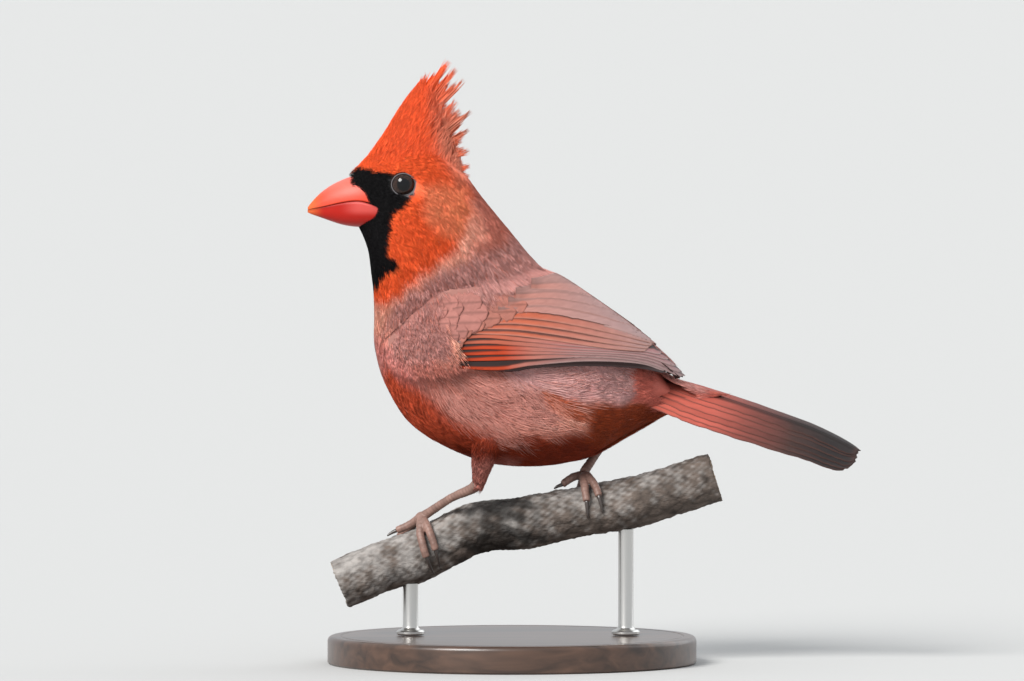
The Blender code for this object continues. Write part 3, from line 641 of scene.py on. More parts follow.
class Coat:
    """Fine barbs gathered into one mesh."""

    def __init__(self):
        self.points, self.faces, self.colours, self.uvs = [], [], [], []
        self.count = 0

    def add_barbs(self, path, side, up, half_width, colours, uv):
        """Adds closed three-sided barbs along paths of points from root to tip.

        The path, colours and uv have one row for each point of a barb, and side and up one for
        each point between its root and its tip.
        """
        barbs, sections = side.shape[:2]
        width = half_width[:, None, None]
        middle = path[:, 1:-1]
        rims = np.stack([middle - side * width, middle + side * width, middle + up * width * 0.7],
                        axis=2).reshape(barbs, -1, 3)
        corners = 3 * sections + 2
        points = np.concatenate([path[:, :1], rims, path[:, -1:]], axis=1)
        spread = [0, *np.repeat(np.arange(1, sections + 1), 3), sections + 1]
        sheet = uv[:, spread].copy()
        for k in range(sections):
            sheet[:, 1 + 3 * k, 1] -= BARB_HALF_WIDTH
            sheet[:, 2 + 3 * k, 1] += BARB_HALF_WIDTH
        pattern = [(0, 3, 1), (0, 2, 3), (0, 1, 2)]
        for k in range(sections - 1):
            left, right, top = (1 + 3 * k + i for i in range(3))
            pattern += [(left, top, top + 3), (left, top + 3, left + 3), (top, right, right + 3),
                        (top, right + 3, top + 3), (right, left, left + 3),
                        (right, left + 3, right + 3)]
        left, right, top = (3 * sections - 2 + i for i in range(3))
        pattern += [(left, top, corners - 1), (top, right, corners - 1), (right, left, corners - 1)]
        faces = np.array(pattern)[None] + (self.count + np.arange(barbs) * corners)[:, None, None]
        self.points.append(points.reshape(-1, 3))
        self.faces.append(faces.reshape(-1, 3))
        self.colours.append(colours[:, spread].reshape(-1, 3))
        self.uvs.append(sheet.reshape(-1, 2))
        self.count += barbs * corners

    def build(self, name, material):
        """Makes the piece from all barbs gathered so far."""
        obj = mesh_piece(name, np.concatenate(self.points), np.concatenate(self.faces),
                         np.concatenate(self.colours), np.concatenate(self.uvs))
        settle(obj, material, "plumage")


def barb_colours(middle, sections, rng):
    """Colours from root to tip of barbs whose middles are given, as (tufts, barbs, 3)."""
    mottle = bpy.context.scene.cardinal_plumage.mottle
    tufts, barbs = middle.shape[:2]
    base = plumage_colour(middle)
    frost = 0.03 + 0.36 * smooth_step((base[..., 2:3] - 0.11) / 0.08)
    rusty = (rng.uniform(size=(tufts, barbs, 1)) < frost * 0.4) * rng.uniform(0.2, 0.6)
    base = blend(base, RUSTY, rusty)
    value = np.exp(rng.normal(0, mottle, (tufts, 1, 1))
                   + rng.normal(0, mottle * 0.8, (tufts, barbs, 1)))
    base = np.clip(base * value, 0, 0.95)
    tip = np.minimum(base * 1.05, 0.95)
    chance = rng.uniform(size=(tufts, 1, 1)) * 0.6 + rng.uniform(size=(tufts, barbs, 1)) * 0.4
    pale = (chance < frost) * rng.uniform(0.2, 0.6, (tufts, barbs, 1))
    tip = blend(tip, PALE_TIP, pale)
    steps = np.linspace(0, 1, sections + 2)
    strength = np.interp(steps, (0, 0.35, 1), (0.92, 1.0, 1.0))[:, None]
    toward = smooth_step((steps - 0.25) / 0.75)[:, None]
    colours = blend(base[..., None, :], tip[..., None, :], toward) * strength
    black = mask_share(middle + rng.normal(0, 0.28, middle.shape))[..., None, :]
    dark = np.array(MASK_COLOUR) * np.exp(rng.normal(0, 0.3, (tufts, barbs, 1, 1)))
    return blend(colours, dark, black)


class Tufts:
    """How one region's tufts look: sizes in millimetres, and angles in radians."""

    def __init__(self, barbs, sections=1, length=6.0, depth=2.0, proud=0.0, fan=0.3, root=0.3,
                 width=0.17, bend=0.0, lift=0.12, taper=0.25, wave=0.0, straight=False,
                 pale=0.0):
        self.barbs, self.sections, self.length, self.depth = barbs, sections, length, depth
        self.proud, self.fan, self.root, self.width = proud, fan, root, width
        self.bend, self.lift, self.taper, self.wave = bend, lift, taper, wave
        self.straight, self.pale = straight, pale


def grow(coat, form, t, angle, look, sheet, rng, lie=None, forbid=None):
    """Grows one tuft of barbs at each place on a form, along its lie, into a coat.

    The sheet gives the ranges of t and of the angle that fill the bake map.
    """
    settings = bpy.context.scene.cardinal_plumage
    tufts, barbs = len(t), look.barbs
    across = np.linspace(-1, 1, barbs) + rng.normal(0, 0.35 / barbs, (tufts, barbs))
    point, outward, along, _ = form.at(t, angle)
    heading = unit(along) if lie is None else lie(point, outward, along)
    heading = unit(heading - outward * dot(heading, outward))
    side = np.cross(heading, outward)
    turn = look.fan * across + rng.normal(0, 0.05, (tufts, 1))
    turn = turn + np.reshape(look.wave, (-1, 1)) * ripple(point, 5.5, 61)[:, None]
    way = heading[:, None] * np.cos(turn)[..., None] + side[:, None] * np.sin(turn)[..., None]
    length = np.reshape(look.length, (-1, 1)) * settings.length
    length = length * (1 - look.taper * across ** 2) * np.exp(rng.normal(0, 0.1, across.shape))
    deep = np.broadcast_to(np.reshape(look.depth, (-1, 1)), across.shape)
    spread = np.reshape(look.root, (-1, 1)) * across
    here_t, here_angle, _ = form.walk(np.repeat(t[:, None], barbs, 1),
                                      np.repeat(angle[:, None], barbs, 1),
                                      np.repeat(side[:, None], barbs, 1), spread)
    proud = look.proud + rng.normal(0, look.lift, across.shape)
    proud = proud + rng.normal(0, look.lift, (tufts, 1))
    shares = np.linspace(0, 1, look.sections + 2) ** 0.85
    path, sides, ups = [], [], []
    before = 0.0
    start, start_out, _, _ = form.at(here_t, here_angle)
    for k, share in enumerate(shares):
        if look.straight:
            place, out = start + way * (length * share)[..., None], start_out
        else:
            here_t, here_angle, way = form.walk(here_t, here_angle, way, length * (share - before))
            place, out, _, _ = form.at(here_t, here_angle)
        rise = (proud + deep) * share ** 0.8 - deep
        path.append(place + out * rise[..., None])
        if 0 < k < len(shares) - 1:
            flat = unit(np.cross(way, out))
            sides.append(flat)
            ups.append(out)
            way = unit(way + flat * (look.bend * across)[..., None])
        before = share
    path, sides, ups = (np.stack(each, axis=2) for each in (path, sides, ups))
    colours = barb_colours((path[:, :, -2] + path[:, :, -1]) / 2, look.sections, rng)
    colours = blend(colours, PALE_TIP, look.pale)
    (low_t, high_t), (low_angle, high_angle) = sheet
    centre = np.stack([(t - low_t) / (high_t - low_t),
                       (angle - low_angle) / (high_angle - low_angle)], axis=-1)
    uv = np.empty((tufts, barbs, look.sections + 2, 2))
    uv[..., 0] = 0.01 + 0.98 * centre[:, None, None, 0] + (shares - 0.5) * PATCH_LENGTH
    uv[..., 1] = 0.01 + 0.98 * centre[:, None, None, 1] + across[..., None] * PATCH_HALF_WIDTH
    half_width = look.width * settings.barb_width * np.exp(rng.normal(0, 0.15, across.shape))
    kept = np.ones(across.shape, bool) if forbid is None else ~forbid(path[:, :, -1])
    coat.add_barbs(path[kept], sides[kept], ups[kept], half_width[kept], colours[kept], uv[kept])


def near_eye(points, margin):
    """Whether points lie over an eye, whose opening is grown by the margin."""
    x = (points[..., 0] - EYE_CENTRE[0]) / (EYE_OPENING[0] + margin)
    z = (points[..., 2] - EYE_CENTRE[2]) / (EYE_OPENING[1] + margin)
    return (x * x + z * z < 1) & (np.abs(points[..., 1]) > 3)


def by_station(*pairs):
    """A function of the station, straight between the given (station, value) pairs."""
    stations, values = zip(*pairs)
    return lambda t: np.interp(t, stations, values)


coat_depth = by_station((0, 0.30), (2, 0.38), (3, 0.42), (4.5, 0.5), (6, 0.62), (12, 0.75),
                        (14, 0.5))
barb_length = by_station((0, 1.6), (1, 2.2), (2, 3.6), (3, 5.4), (4.5, 7.2), (6, 8.0), (8, 9.5),
                         (10, 11.0), (12, 10.5), (14, 9.0))
tuft_spacing = by_station((0, 0.55), (2, 0.66), (3, 0.85), (4.5, 1.1), (6.5, 1.33), (14, 1.4))
waviness = by_station((0, 0.05), (3, 0.12), (6, 0.16), (8, 0.34), (11, 0.42), (14, 0.15))
barb_width = by_station((0, 0.06), (2, 0.068), (4.3, 0.078), (6.4, 0.088))
unevenness = by_station((0, 0.02), (4, 0.03), (8, 0.06))


def face_lie(point, outward, along):
    """On the face the feathers run back from the bill, less steeply than the form's lines."""
    share = np.clip((point[:, :1] + 20.0) / -25.0, 0, 1) * np.clip((point[:, 2:] - 120) / 25, 0, 1)
    back = np.array([1.0, 0.0, -0.18])
    return unit(along) * (1 - 0.55 * share) + back * 0.55 * share


def body_roots(start, stop, side, rng):
    """Places for tufts on one side of the body, clear of the eyes, the wings and the crest."""
    density = bpy.context.scene.cardinal_plumage.spacing

    def keep(point, angle):
        covered = depth_inside(point, WING_OUTLINE) > 2.5
        under_crest = (depth_inside(point, CREST_FOOT) > 1.5) & (np.abs(point[:, 1]) < 6)
        under_tail = point[:, 2] < 85.0 - 0.32 * (point[:, 0] - 37.4)
        over_tail = (side < 0) & (point[:, 0] > 40.0) & ~under_tail & (point[:, 1] < -5.5)
        hidden = covered | under_crest | over_tail | near_eye(point, 0.5)
        return on_side(angle, side) & ~hidden

    return body_form.roots(start, stop, lambda t: tuft_spacing(t) * density, rng, keep)


BODY_COATS = (  # name, first and last station, barbs in a tuft, points along a barb
    ("coat_face", 0.06, 2.0, 6, 1),
    ("coat_head", 2.0, 4.3, 9, 1),
    ("coat_neck", 4.3, 6.4, 11, 1),
    ("coat_breast", 6.4, 8.9, 9, 2),
    ("coat_belly", 8.9, 11.6, 9, 2),
    ("coat_rump", 11.6, 14.0, 9, 2),
)


def inner_shell(name, form, stop, rows, step, depth):
    """A closed tube inside a form, at a depth that a function of t and of the point gives."""
    angle = np.linspace(0, FULL_TURN, 96, endpoint=False)[::step]
    t, angle = np.meshgrid(np.linspace(0, stop, rows), angle, indexing="ij")
    point, outward, _, _ = form.at(t, angle)
    return wrapped_grid(name, point - outward * depth(t, point)[..., None])


def make_skin():
    """One skin inside the coat, over the body, the crest and the thighs."""

    def body_depth(t, point):
        away = np.hypot(point[..., 0] - EYE_CENTRE[0], point[..., 2] - EYE_CENTRE[2])
        socket = smooth_step(1.6 - away / 3.2) * (np.abs(point[..., 1]) > 3)
        return coat_depth(t) + 2.2 * socket + np.interp(t, (12.0, 12.5, SKIN_END), (0.0, 1.4, 3.8))

    def even_depth(last, deep):
        return lambda t, point: np.interp(t, (0, last), (deep, 0.7))

    crest_last = crest_form.last
    pieces = [inner_shell("body skin", body_form, SKIN_END, 120, 1, body_depth),
              inner_shell("crest skin", crest_form, crest_last - 0.5, 40, 2,
                          even_depth(crest_last, 1.4))]
    for side, form in thigh_forms.items():
        pieces.append(inner_shell(f"{side} thigh skin", form, form.last, 24, 3,
                                  even_depth(form.last, 1.8)))
    skin = join("skin", pieces)
    apply_modifier(skin, "REMESH", mode="VOXEL", voxel_size=0.95 * MM, use_smooth_shade=True)
    apply_modifier(skin, "SMOOTH", factor=0.5, iterations=4)
    lids = [make_lids(side) for side in (-1, 1)]
    skin = join("skin", [skin, *lids])
    points = vertex_points(skin)
    colour = blend(plumage_colour(points) * 0.9, MASK_COLOUR, mask_share(points))
    lid = near_eye(points, 1.0) & (np.abs(points[:, 1]) > 9.3)
    ring = np.hypot((points[:, 0] - EYE_CENTRE[0]) / (EYE_OPENING[0] + 0.55),
                    (points[:, 2] - EYE_CENTRE[2]) / (EYE_OPENING[1] + 0.55))
    colour[lid & (ring < 1.05)] = LID_GREY
    paint_vertices(skin, colour)
    material, shader = new_material("skin", 0.6, 0.3)
    noise = painted_colour(material, shader, 0.12, 900)
    bumped(material, shader, noise.outputs["Fac"], 0.4, 0.0002)
    settle(skin, material, "plumage", "head", "crest", "neck", "trunk", "tail_coverts",
           "thigh_left", "thigh_right")


def make_lids(side):
    """The bare ring round an eye, with folds of the lids under it and before it."""
    ex, ey, ez = EYE_CENTRE
    pieces = []
    turns = np.linspace(0, FULL_TURN, 72, endpoint=False)
    around = np.linspace(0, FULL_TURN, 12, endpoint=False)
    for reach, radius, sink, share in LID_FOLDS:
        half_x, half_z = EYE_OPENING[0] + reach, EYE_OPENING[1] + reach
        if share < 1:
            sweep = np.linspace(math.radians(178), math.radians(178 + 360 * share * 0.62), 40)
        else:
            sweep = turns
        x, z = ex + half_x * np.cos(sweep), ez + half_z * np.sin(sweep)
        ball = EYE_RADIUS ** 2 - np.minimum((x - ex) ** 2 + (z - ez) ** 2, EYE_RADIUS ** 2 * 0.93)
        y = ey + np.sqrt(ball) + sink + 0.15
        centre = np.stack([x, side * y, z], axis=-1)
        way = unit(np.stack([-np.sin(sweep), 0 * sweep, np.cos(sweep)], axis=-1))
        out = np.broadcast_to([0.0, float(side), 0.0], way.shape)
        flat = np.cross(way, out)
        taper = radius * (np.ones_like(sweep) if share == 1
                          else np.sin(np.linspace(0.05, math.pi - 0.05, len(sweep))) ** 0.6)
        rings = (centre[:, None] + taper[:, None, None]
                 * (flat[:, None] * np.cos(around)[None, :, None]
                    + out[:, None] * np.sin(around)[None, :, None]))
        pieces.append(closed_ring(rings) if share == 1 else wrapped_grid("fold", rings))
    return join("lids", pieces)


def closed_ring(rings):
    """A ring-shaped piece through sections that come back to the first."""
    rows, sides = rings.shape[:2]
    deselect()
    bpy.ops.mesh.primitive_torus_add(major_segments=rows, minor_segments=sides)
    obj = bpy.context.object
    set_vertex_points(obj, rings.reshape(-1, 3))
    face_outwards(obj)
    return obj


def feather_material():
    """The soft barbs of the coat."""
    material, shader = new_material("barbs of the coat", 0.6, 0.10, sheen=0.02)
    shader.inputs["Sheen Roughness"].default_value = 0.5
    painted_colour(material, shader, 0.10, 1400)
    return material


def make_coat():
    """The coat of the body, in pieces from the face back to the rump."""
    material = feather_material()
    for number, (name, start, stop, barbs, sections) in enumerate(BODY_COATS):
        for side_name, side in SIDES:
            rng = np.random.default_rng(100 + 10 * number + (side > 0))
            t, angle = body_roots(start, stop, side, rng)
            coat = Coat()
            look = Tufts(barbs, sections, length=barb_length(t), depth=coat_depth(t), fan=0.11,
                         root=tuft_spacing(t) * 0.8, wave=waviness(t), width=barb_width(start),
                         lift=unevenness(start), bend=-0.05)
            grow(coat, body_form, t, angle, look, ((start, stop), half_turn(side)), rng,
                 lie=face_lie, forbid=lambda tips: near_eye(tips, 0.35))
            coat.build(f"{name}_{side_name}", material)
    make_bristles(material)
    make_flank_plumes(material)
    make_scapulars(material)
    make_shoulders(material)
    make_lesser_coverts(material)
    make_thigh_coats(material)
    make_crest_coat(material)


def make_bristles(material):
    """Short bristles of the mask that lie forward over the base of the bill."""
    rng = np.random.default_rng(290)
    t, angle = body_form.roots(0.03, 0.34, lambda t: 0.62, rng,
                               lambda point, angle: np.ones(len(angle), bool))
    coat = Coat()
    look = Tufts(5, 1, length=1.7, depth=0.5, proud=0.22, fan=0.35, root=0.4, width=0.07, lift=0.12)
    grow(coat, body_form, t, angle, look, ((0, 0.4), (0, FULL_TURN)), rng,
         lie=lambda point, outward, along: -along)
    coat.build("coat_bristles", material)


def both_sides(name, seed, form, span, spacing, inside, look, material):
    """Grows a patch of coat on each side of a form.

    A function of the points and the random numbers says where it grows, and another gives the
    look of the tufts at their roots.
    """
    for side_name, side in SIDES:
        rng = np.random.default_rng(seed + side)
        t, angle = form.roots(*span, lambda t: spacing, rng, lambda point, angle:
                              on_side(angle, side) & inside(point, rng))
        coat = Coat()
        grow(coat, form, t, angle, look(form.at(t, angle)[0]), (span, half_turn(side)), rng)
        coat.build(f"{name}_{side_name}", material)


def make_flank_plumes(material):
    """Long, pale, wavy feathers that fall loosely over each flank."""

    def inside(point, rng):
        return depth_inside(point, FLANK_PLUMES) + rng.normal(0, 1.5, len(point)) > 0

    look = Tufts(7, 3, length=13.0, depth=0.3, proud=0.4, fan=0.20, root=1.5, width=0.075,
                 lift=0.09, bend=-0.06, taper=0.4, wave=0.5, pale=0.3)
    both_sides("coat_flank", 295, body_form, (6.0, 12.5), 2.3, inside, lambda root: look, material)


def make_scapulars(material):
    """Feathers of the mantle that lie over the top of each folded wing."""

    def inside(point, rng):
        ragged = rng.normal(0, 0.7, len(point))
        middle = (np.abs(point[:, 1]) < 2.8) & (point[:, 0] > 14.0) & (point[:, 0] < 47.0)
        return (depth_inside(point, SCAPULARS) + ragged > 0) | middle

    look = Tufts(9, 2, length=9.5, depth=1.6, proud=0.2, fan=0.12, root=0.95, width=0.085,
                 lift=0.055, bend=-0.06, wave=0.06)
    both_sides("coat_scapulars", 300, wing_form, WING_SPAN, 1.25, inside, lambda root: look,
               material)


def make_shoulders(material):
    """Feathers of the breast and mantle that close over the front of each folded wing."""

    def inside(point, rng):
        depth = depth_inside(point, WING_OUTLINE) + rng.normal(0, 0.35, len(point))
        front = (point[:, 0] < -16) & (point[:, 2] > 99)
        return front & (depth > -5.0) & (depth < 1.2)

    def look(root):
        depth = depth_inside(root, WING_OUTLINE)
        return Tufts(9, 2, length=np.interp(depth, (-5, 1.2), (8.0, 5.0)), depth=3.2,
                     proud=np.interp(depth, (-5, -1, 1.2), (-2.4, -0.2, 0.35))[:, None],
                     fan=0.12, root=0.85, width=0.09, lift=0.055, bend=-0.06, wave=0.06)

    both_sides("coat_shoulder", 350, wing_form, WING_SPAN, 1.1, inside, look, material)


def make_lesser_coverts(material):
    """Small soft feathers over the front of each folded wing."""

    def inside(point, rng):
        rear = np.interp(point[:, 2], (100, 106, 112, 118), (-19.0, -20.0, -25.0, -27.0))
        ragged = rng.normal(0, 1.6, len(point))
        return (depth_inside(point, WING_OUTLINE) > -1.0) & (point[:, 0] + ragged < rear)

    def look(root):
        return Tufts(7, 1, length=np.interp(root[:, 0], (-40, -25), (4.6, 6.0)), depth=-0.35,
                     proud=np.interp(root[:, 0], (-40, -22), (0.75, 1.35))[:, None], fan=0.13,
                     root=0.85, width=0.09, lift=0.035, wave=0.06)

    both_sides("coat_coverts", 380, wing_form, WING_SPAN, 1.15, inside, look, material)


def make_thigh_coats(material):
    """The feathered upper part of each leg."""
    for number, (side_name, form) in enumerate(thigh_forms.items()):
        rng = np.random.default_rng(400 + number)
        t, angle = form.roots(0.1, form.last - 0.06, lambda t: 0.95, rng,
                              lambda point, angle: np.ones(len(angle), bool))
        coat = Coat()
        look = Tufts(7, 2, length=np.interp(t, (0, 2), (7.0, 3.8)),
                     depth=np.interp(t, (0, 2), (1.5, 0.6)), fan=0.2, root=0.6, width=0.10,
                     lift=0.10, bend=-0.2)
        grow(coat, form, t, angle, look, ((0, form.last), (0, FULL_TURN)), rng)
        coat.build(f"coat_thigh_{side_name}", material)


def crest_lie(point, outward, along):
    """Up the front edge, and leaning back towards the rear edge."""
    front = -30.0 - (point[:, 2] - 183.0) * 0.62
    behind = np.clip((point[:, 0] - front) / 22.0, 0, 1)
    slope = np.radians(58.0 - 36.0 * behind ** 0.9 * np.clip((196 - point[:, 2]) / 28, 0.35, 1))
    return np.stack([np.cos(slope), 0 * slope, np.sin(slope)], axis=-1)


def behind_crest_middle(point, angle):
    """Whether points lie on the rear part of the crest."""
    front = np.interp(point[:, 2], (160, 166, 180, 190), (-49, -46, -37, -29))
    rear = np.interp(point[:, 2], (150, 158, 166, 183, 189), (-14.8, -15.6, -18.6, -26.4, -28))
    return (point[:, 0] - front) / (rear - front) > 0.42


def make_crest_coat(material):
    """Long feathers that lie up the crest, and locks that part at its tips."""
    coat = Coat()
    rng = np.random.default_rng(500)
    t, angle = crest_form.roots(0.0, crest_form.last - 0.3, lambda t: 1.2 - 0.06 * t, rng,
                                lambda point, angle: ~near_eye(point, 0.6))
    look = Tufts(8, 2, length=np.interp(t, (0, 1.5, 4, 6), (7.0, 10.0, 9.0, 5.0)),
                 depth=np.interp(t, (0, 2, 6), (1.2, 0.9, 0.45)), proud=0.05, fan=0.10, root=0.8,
                 width=0.085, lift=0.05, bend=-0.1, taper=0.3, wave=0.06)
    grow(coat, crest_form, t, angle, look, ((0, crest_form.last), (0, FULL_TURN)), rng,
         lie=crest_lie, forbid=lambda tips: near_eye(tips, 0.3) | (tips[..., 2] > 190.5))
    t, angle = crest_form.roots(0.8, crest_form.last - 0.2, lambda t: 1.5, rng, behind_crest_middle)
    look = Tufts(6, 2, length=np.interp(t, (0.8, 2, 4, 6), (7.0, 9.0, 9.0, 6.0)), depth=0.6,
                 fan=0.14, root=0.9, width=0.10, lift=0.15, bend=-0.15, taper=0.3, wave=0.12,
                 straight=True)
    grow(coat, crest_form, t, angle, look, ((0, crest_form.last), (0, FULL_TURN)), rng,
         lie=crest_lie, forbid=lambda tips: depth_inside(tips, CREST_LIMIT) < 0)
    locks = [(np.array(root), np.array(tip)) for root, tip in CREST_LOCKS]
    for root, tip in locks:
        add_lock(coat, root, tip, rng)
    for (root, tip), (next_root, next_tip) in zip(locks, locks[1:]):
        for share in (0.25, 0.5, 0.75):
            between = root + (next_root - root) * share
            end = tip + (next_tip - tip) * share
            add_lock(coat, between, between + (end - between) * rng.uniform(0.72, 0.94), rng, 24)
    coat.build("coat_crest", material)


def add_lock(coat, root, tip, rng, barbs=40):
    """One pointed lock whose barbs start apart inside the crest and meet at its tip."""
    shares = np.array([0.0, 0.3, 0.6, 0.85, 1.0])
    run = tip - root
    start = root - run * 0.25
    square = np.array([-run[1], run[0]]) / np.linalg.norm(run)
    across = rng.uniform(-1, 1, barbs)
    depth = rng.uniform(-1, 1, barbs)
    reach = 1 - rng.uniform(0, 0.7, barbs) ** 2.2
    stray = rng.normal(0, 0.5, barbs)
    thick = np.interp(root[1], (158, 170, 182), (5.0, 3.4, 1.7))
    path = np.empty((barbs, len(shares), 3))
    for k, share in enumerate(shares):
        along = start + (tip - start) * (share * reach)[:, None]
        open_share = (1 - share) ** 0.7
        bow = -0.7 * math.sin(share * math.pi)
        flat = along + square * (across * 1.9 * open_share + bow + stray * share ** 2)[:, None]
        path[:, k, 0], path[:, k, 2] = flat[:, 0], flat[:, 1]
        path[:, k, 1] = depth * thick * open_share
    way = unit(path[:, 2:] - path[:, :-2])
    out = np.zeros_like(way)
    out[..., 1] = np.where(depth > 0, 1.0, -1.0)[:, None]
    sides = unit(np.cross(way, out))
    colours = barb_colours(path[None, :, 2], 3, rng)[0]
    uv = np.empty((barbs, len(shares), 2))
    uv[..., 0] = 0.97 + (shares - 0.5) * PATCH_LENGTH
    uv[..., 1] = 0.05 + 0.9 * (tip[1] - 155) / 45 + across[:, None] * PATCH_HALF_WIDTH
    width = LOCK_BARB_WIDTH * bpy.context.scene.cardinal_plumage.barb_width
    coat.add_barbs(path, sides, out, width * np.ones(barbs), colours, uv)


# Flight feathers of the wing in side view, from the lowest up. Each has the line of its lower
# edge from root to tip and its width.
PRIMARIES = (
    # The lowest is a dark vane, painted as the shade in the gap under the wing
    (((-12.0, 96.7), (0.0, 96.3), (8.0, 97.5), (24.7, 98.1), (41.6, 97.0), (50.4, 94.9)), 3.0),
    (((-19.5, 97.3), (-4.2, 96.7), (6.8, 98.3), (24.7, 99.6), (41.6, 98.5), (50.4, 95.4)), 4.2),
    (((-17.6, 99.6), (-7.2, 99.8), (6.8, 100.3), (21.1, 100.8), (35.1, 100.1), (45.5, 98.0),
      (56.2, 92.9)), 4.6),
    (((-17.6, 101.4), (-7.2, 101.7), (6.8, 101.8), (21.1, 101.7), (35.1, 100.9), (45.5, 99.0),
      (55.4, 94.4)), 4.8),
    (((-17.6, 103.2), (-7.2, 103.5), (6.8, 102.9), (21.1, 102.4), (35.1, 101.6), (44.9, 100.0),
      (53.6, 96.4)), 4.8),
    (((-17.6, 105.0), (-7.2, 105.3), (6.8, 104.2), (21.1, 103.2), (35.1, 102.3), (44.2, 101.0),
      (51.4, 98.6)), 4.6),
    (((-16.2, 106.8), (-7.2, 107.1), (6.8, 105.6), (21.1, 104.2), (35.1, 103.0), (43.2, 102.0),
      (48.8, 100.4)), 4.4),
)
SECONDARIES = (
    (((-15.0, 108.5), (0.0, 107.9), (14.0, 106.1), (30.9, 103.4), (44.2, 101.8)), 4.2),
    (((-12.3, 109.9), (1.0, 109.7), (14.6, 107.9), (30.9, 104.9), (45.2, 102.4)), 4.6),
    (((-9.8, 111.5), (1.6, 111.5), (15.6, 109.7), (31.5, 106.4), (46.2, 103.0)), 5.0),
    (((-7.8, 112.9), (3.6, 113.3), (16.2, 111.6), (31.9, 108.0), (46.8, 103.6)), 5.2),
)
TERTIALS = (
    (((-4.5, 114.7), (9.1, 114.6), (21.1, 112.6), (33.5, 109.0), (47.6, 103.6)), 6.0),
    (((-1.3, 117.0), (10.7, 116.8), (22.1, 114.9), (32.5, 111.6), (46.0, 105.6)), 6.5),
    (((1.0, 119.3), (12.3, 118.6), (22.1, 117.0), (30.6, 114.4), (42.6, 108.4)), 7.0),
    (((6.0, 122.3), (16.0, 121.4), (25.0, 118.8), (33.0, 115.2), (40.6, 110.6)), 6.5),
)
GREATER_COVERTS = (  # the root's and the tip's place, and the width
    (-28.0, 103.6, -15.6, 105.4, 4.6), (-27.0, 105.6, -14.4, 107.4, 4.8),
    (-26.0, 107.8, -12.6, 109.4, 5.0), (-23.0, 110.4, -8.6, 111.6, 5.6),
    (-19.0, 112.8, -3.4, 113.4, 6.0), (-14.0, 115.2, 1.6, 115.4, 6.6),
    (-10.0, 117.6, 5.0, 117.6, 6.8))
MEDIAN_COVERTS = (
    (-31.0, 102.6, -19.4, 103.8, 5.4), (-30.0, 105.6, -17.2, 106.8, 6.0),
    (-28.4, 108.6, -14.0, 109.2, 6.8), (-25.0, 111.6, -9.6, 112.0, 7.2),
    (-22.0, 115.0, -7.6, 115.2, 8.0), (-21.0, 118.0, -9.6, 118.4, 6.6))
ORANGE_EDGE, SALMON_EDGE = (0.38, 0.044, 0.014), (0.38, 0.095, 0.055)
# DARK_WEB is the dusky inner web of the flight feathers, painted near-black so that it is also
# painted shade in the gaps between them
DARK_WEB, COVERT_GREY = (0.024, 0.013, 0.012), (0.315, 0.128, 0.107)
PRIMARY_COVERT, COVERT_BROWN = (0.22, 0.13, 0.12), (0.33, 0.125, 0.095)
VANE_TONE = 0.92  # how light the vanes are over their painted colours
VANE_THICKNESS = 0.12
WING_FRONT = ((-32.0, 96.5), (-37.5, 98.0), (-40.0, 103.0), (-38.5, 111.0), (-34.0, 117.5),
              (-26.0, 121.0))


class WingSide:
    """The outer surface of a folded wing, found from its place in side view."""

    def __init__(self, form):
        left = form.grid[:, form.COLUMNS // 2:, :3]
        rows, columns = left.shape[:2]
        corner = np.arange(rows * columns).reshape(rows, columns)
        quads = np.stack([corner[:-1, :-1], corner[1:, :-1], corner[1:, 1:], corner[:-1, 1:]],
                         axis=-1).reshape(-1, 4)
        self.tree = BVHTree.FromPolygons(left.reshape(-1, 3).tolist(), quads.tolist())

    def place(self, flat):
        """Points and outward directions at (x, z) places on the left side."""
        points = np.empty((len(flat), 3))
        outward = np.empty((len(flat), 3))
        for k, (x, z) in enumerate(flat):
            hit, normal, _, _ = self.tree.ray_cast((x, -60.0, z), (0.0, 1.0, 0.0))
            if hit is None:
                hit, normal, _, _ = self.tree.find_nearest((x, -1.0, z))
            points[k] = hit
            outward[k] = normal if normal.y < 0 else -normal
        sink = 1.3 * np.exp(-(line_distance(flat, WING_FRONT) / 2.4) ** 2)
        return points - outward * sink[:, None], outward


def line_distance(flat, line):
    """How far (x, z) places are from a line of points."""
    return np.min([edge_distance(flat[:, 0], flat[:, 1], start, stop)
                   for start, stop in zip(line, line[1:])], axis=0)


class Vane:
    """One feather as a thin curved sheet: where it lies, how high, and its colours."""

    def __init__(self, line, width, lift=(0.0, 0.0), anchor=0.0, tilt=0.25, camber=0.2,
                 shaft=0.35, rounding=0.16, root=0.6, outer=None, inner=DARK_WEB, rim=None,
                 notch=0.25, rim_from=-1.0, flipped=False):
        self.line, self.width, self.lift, self.anchor, self.tilt = line, width, lift, anchor, tilt
        self.camber, self.shaft, self.rounding, self.root = camber, shaft, rounding, root
        self.outer, self.inner, self.rim, self.notch = outer, inner, rim, notch
        self.rim_from, self.flipped = rim_from, flipped


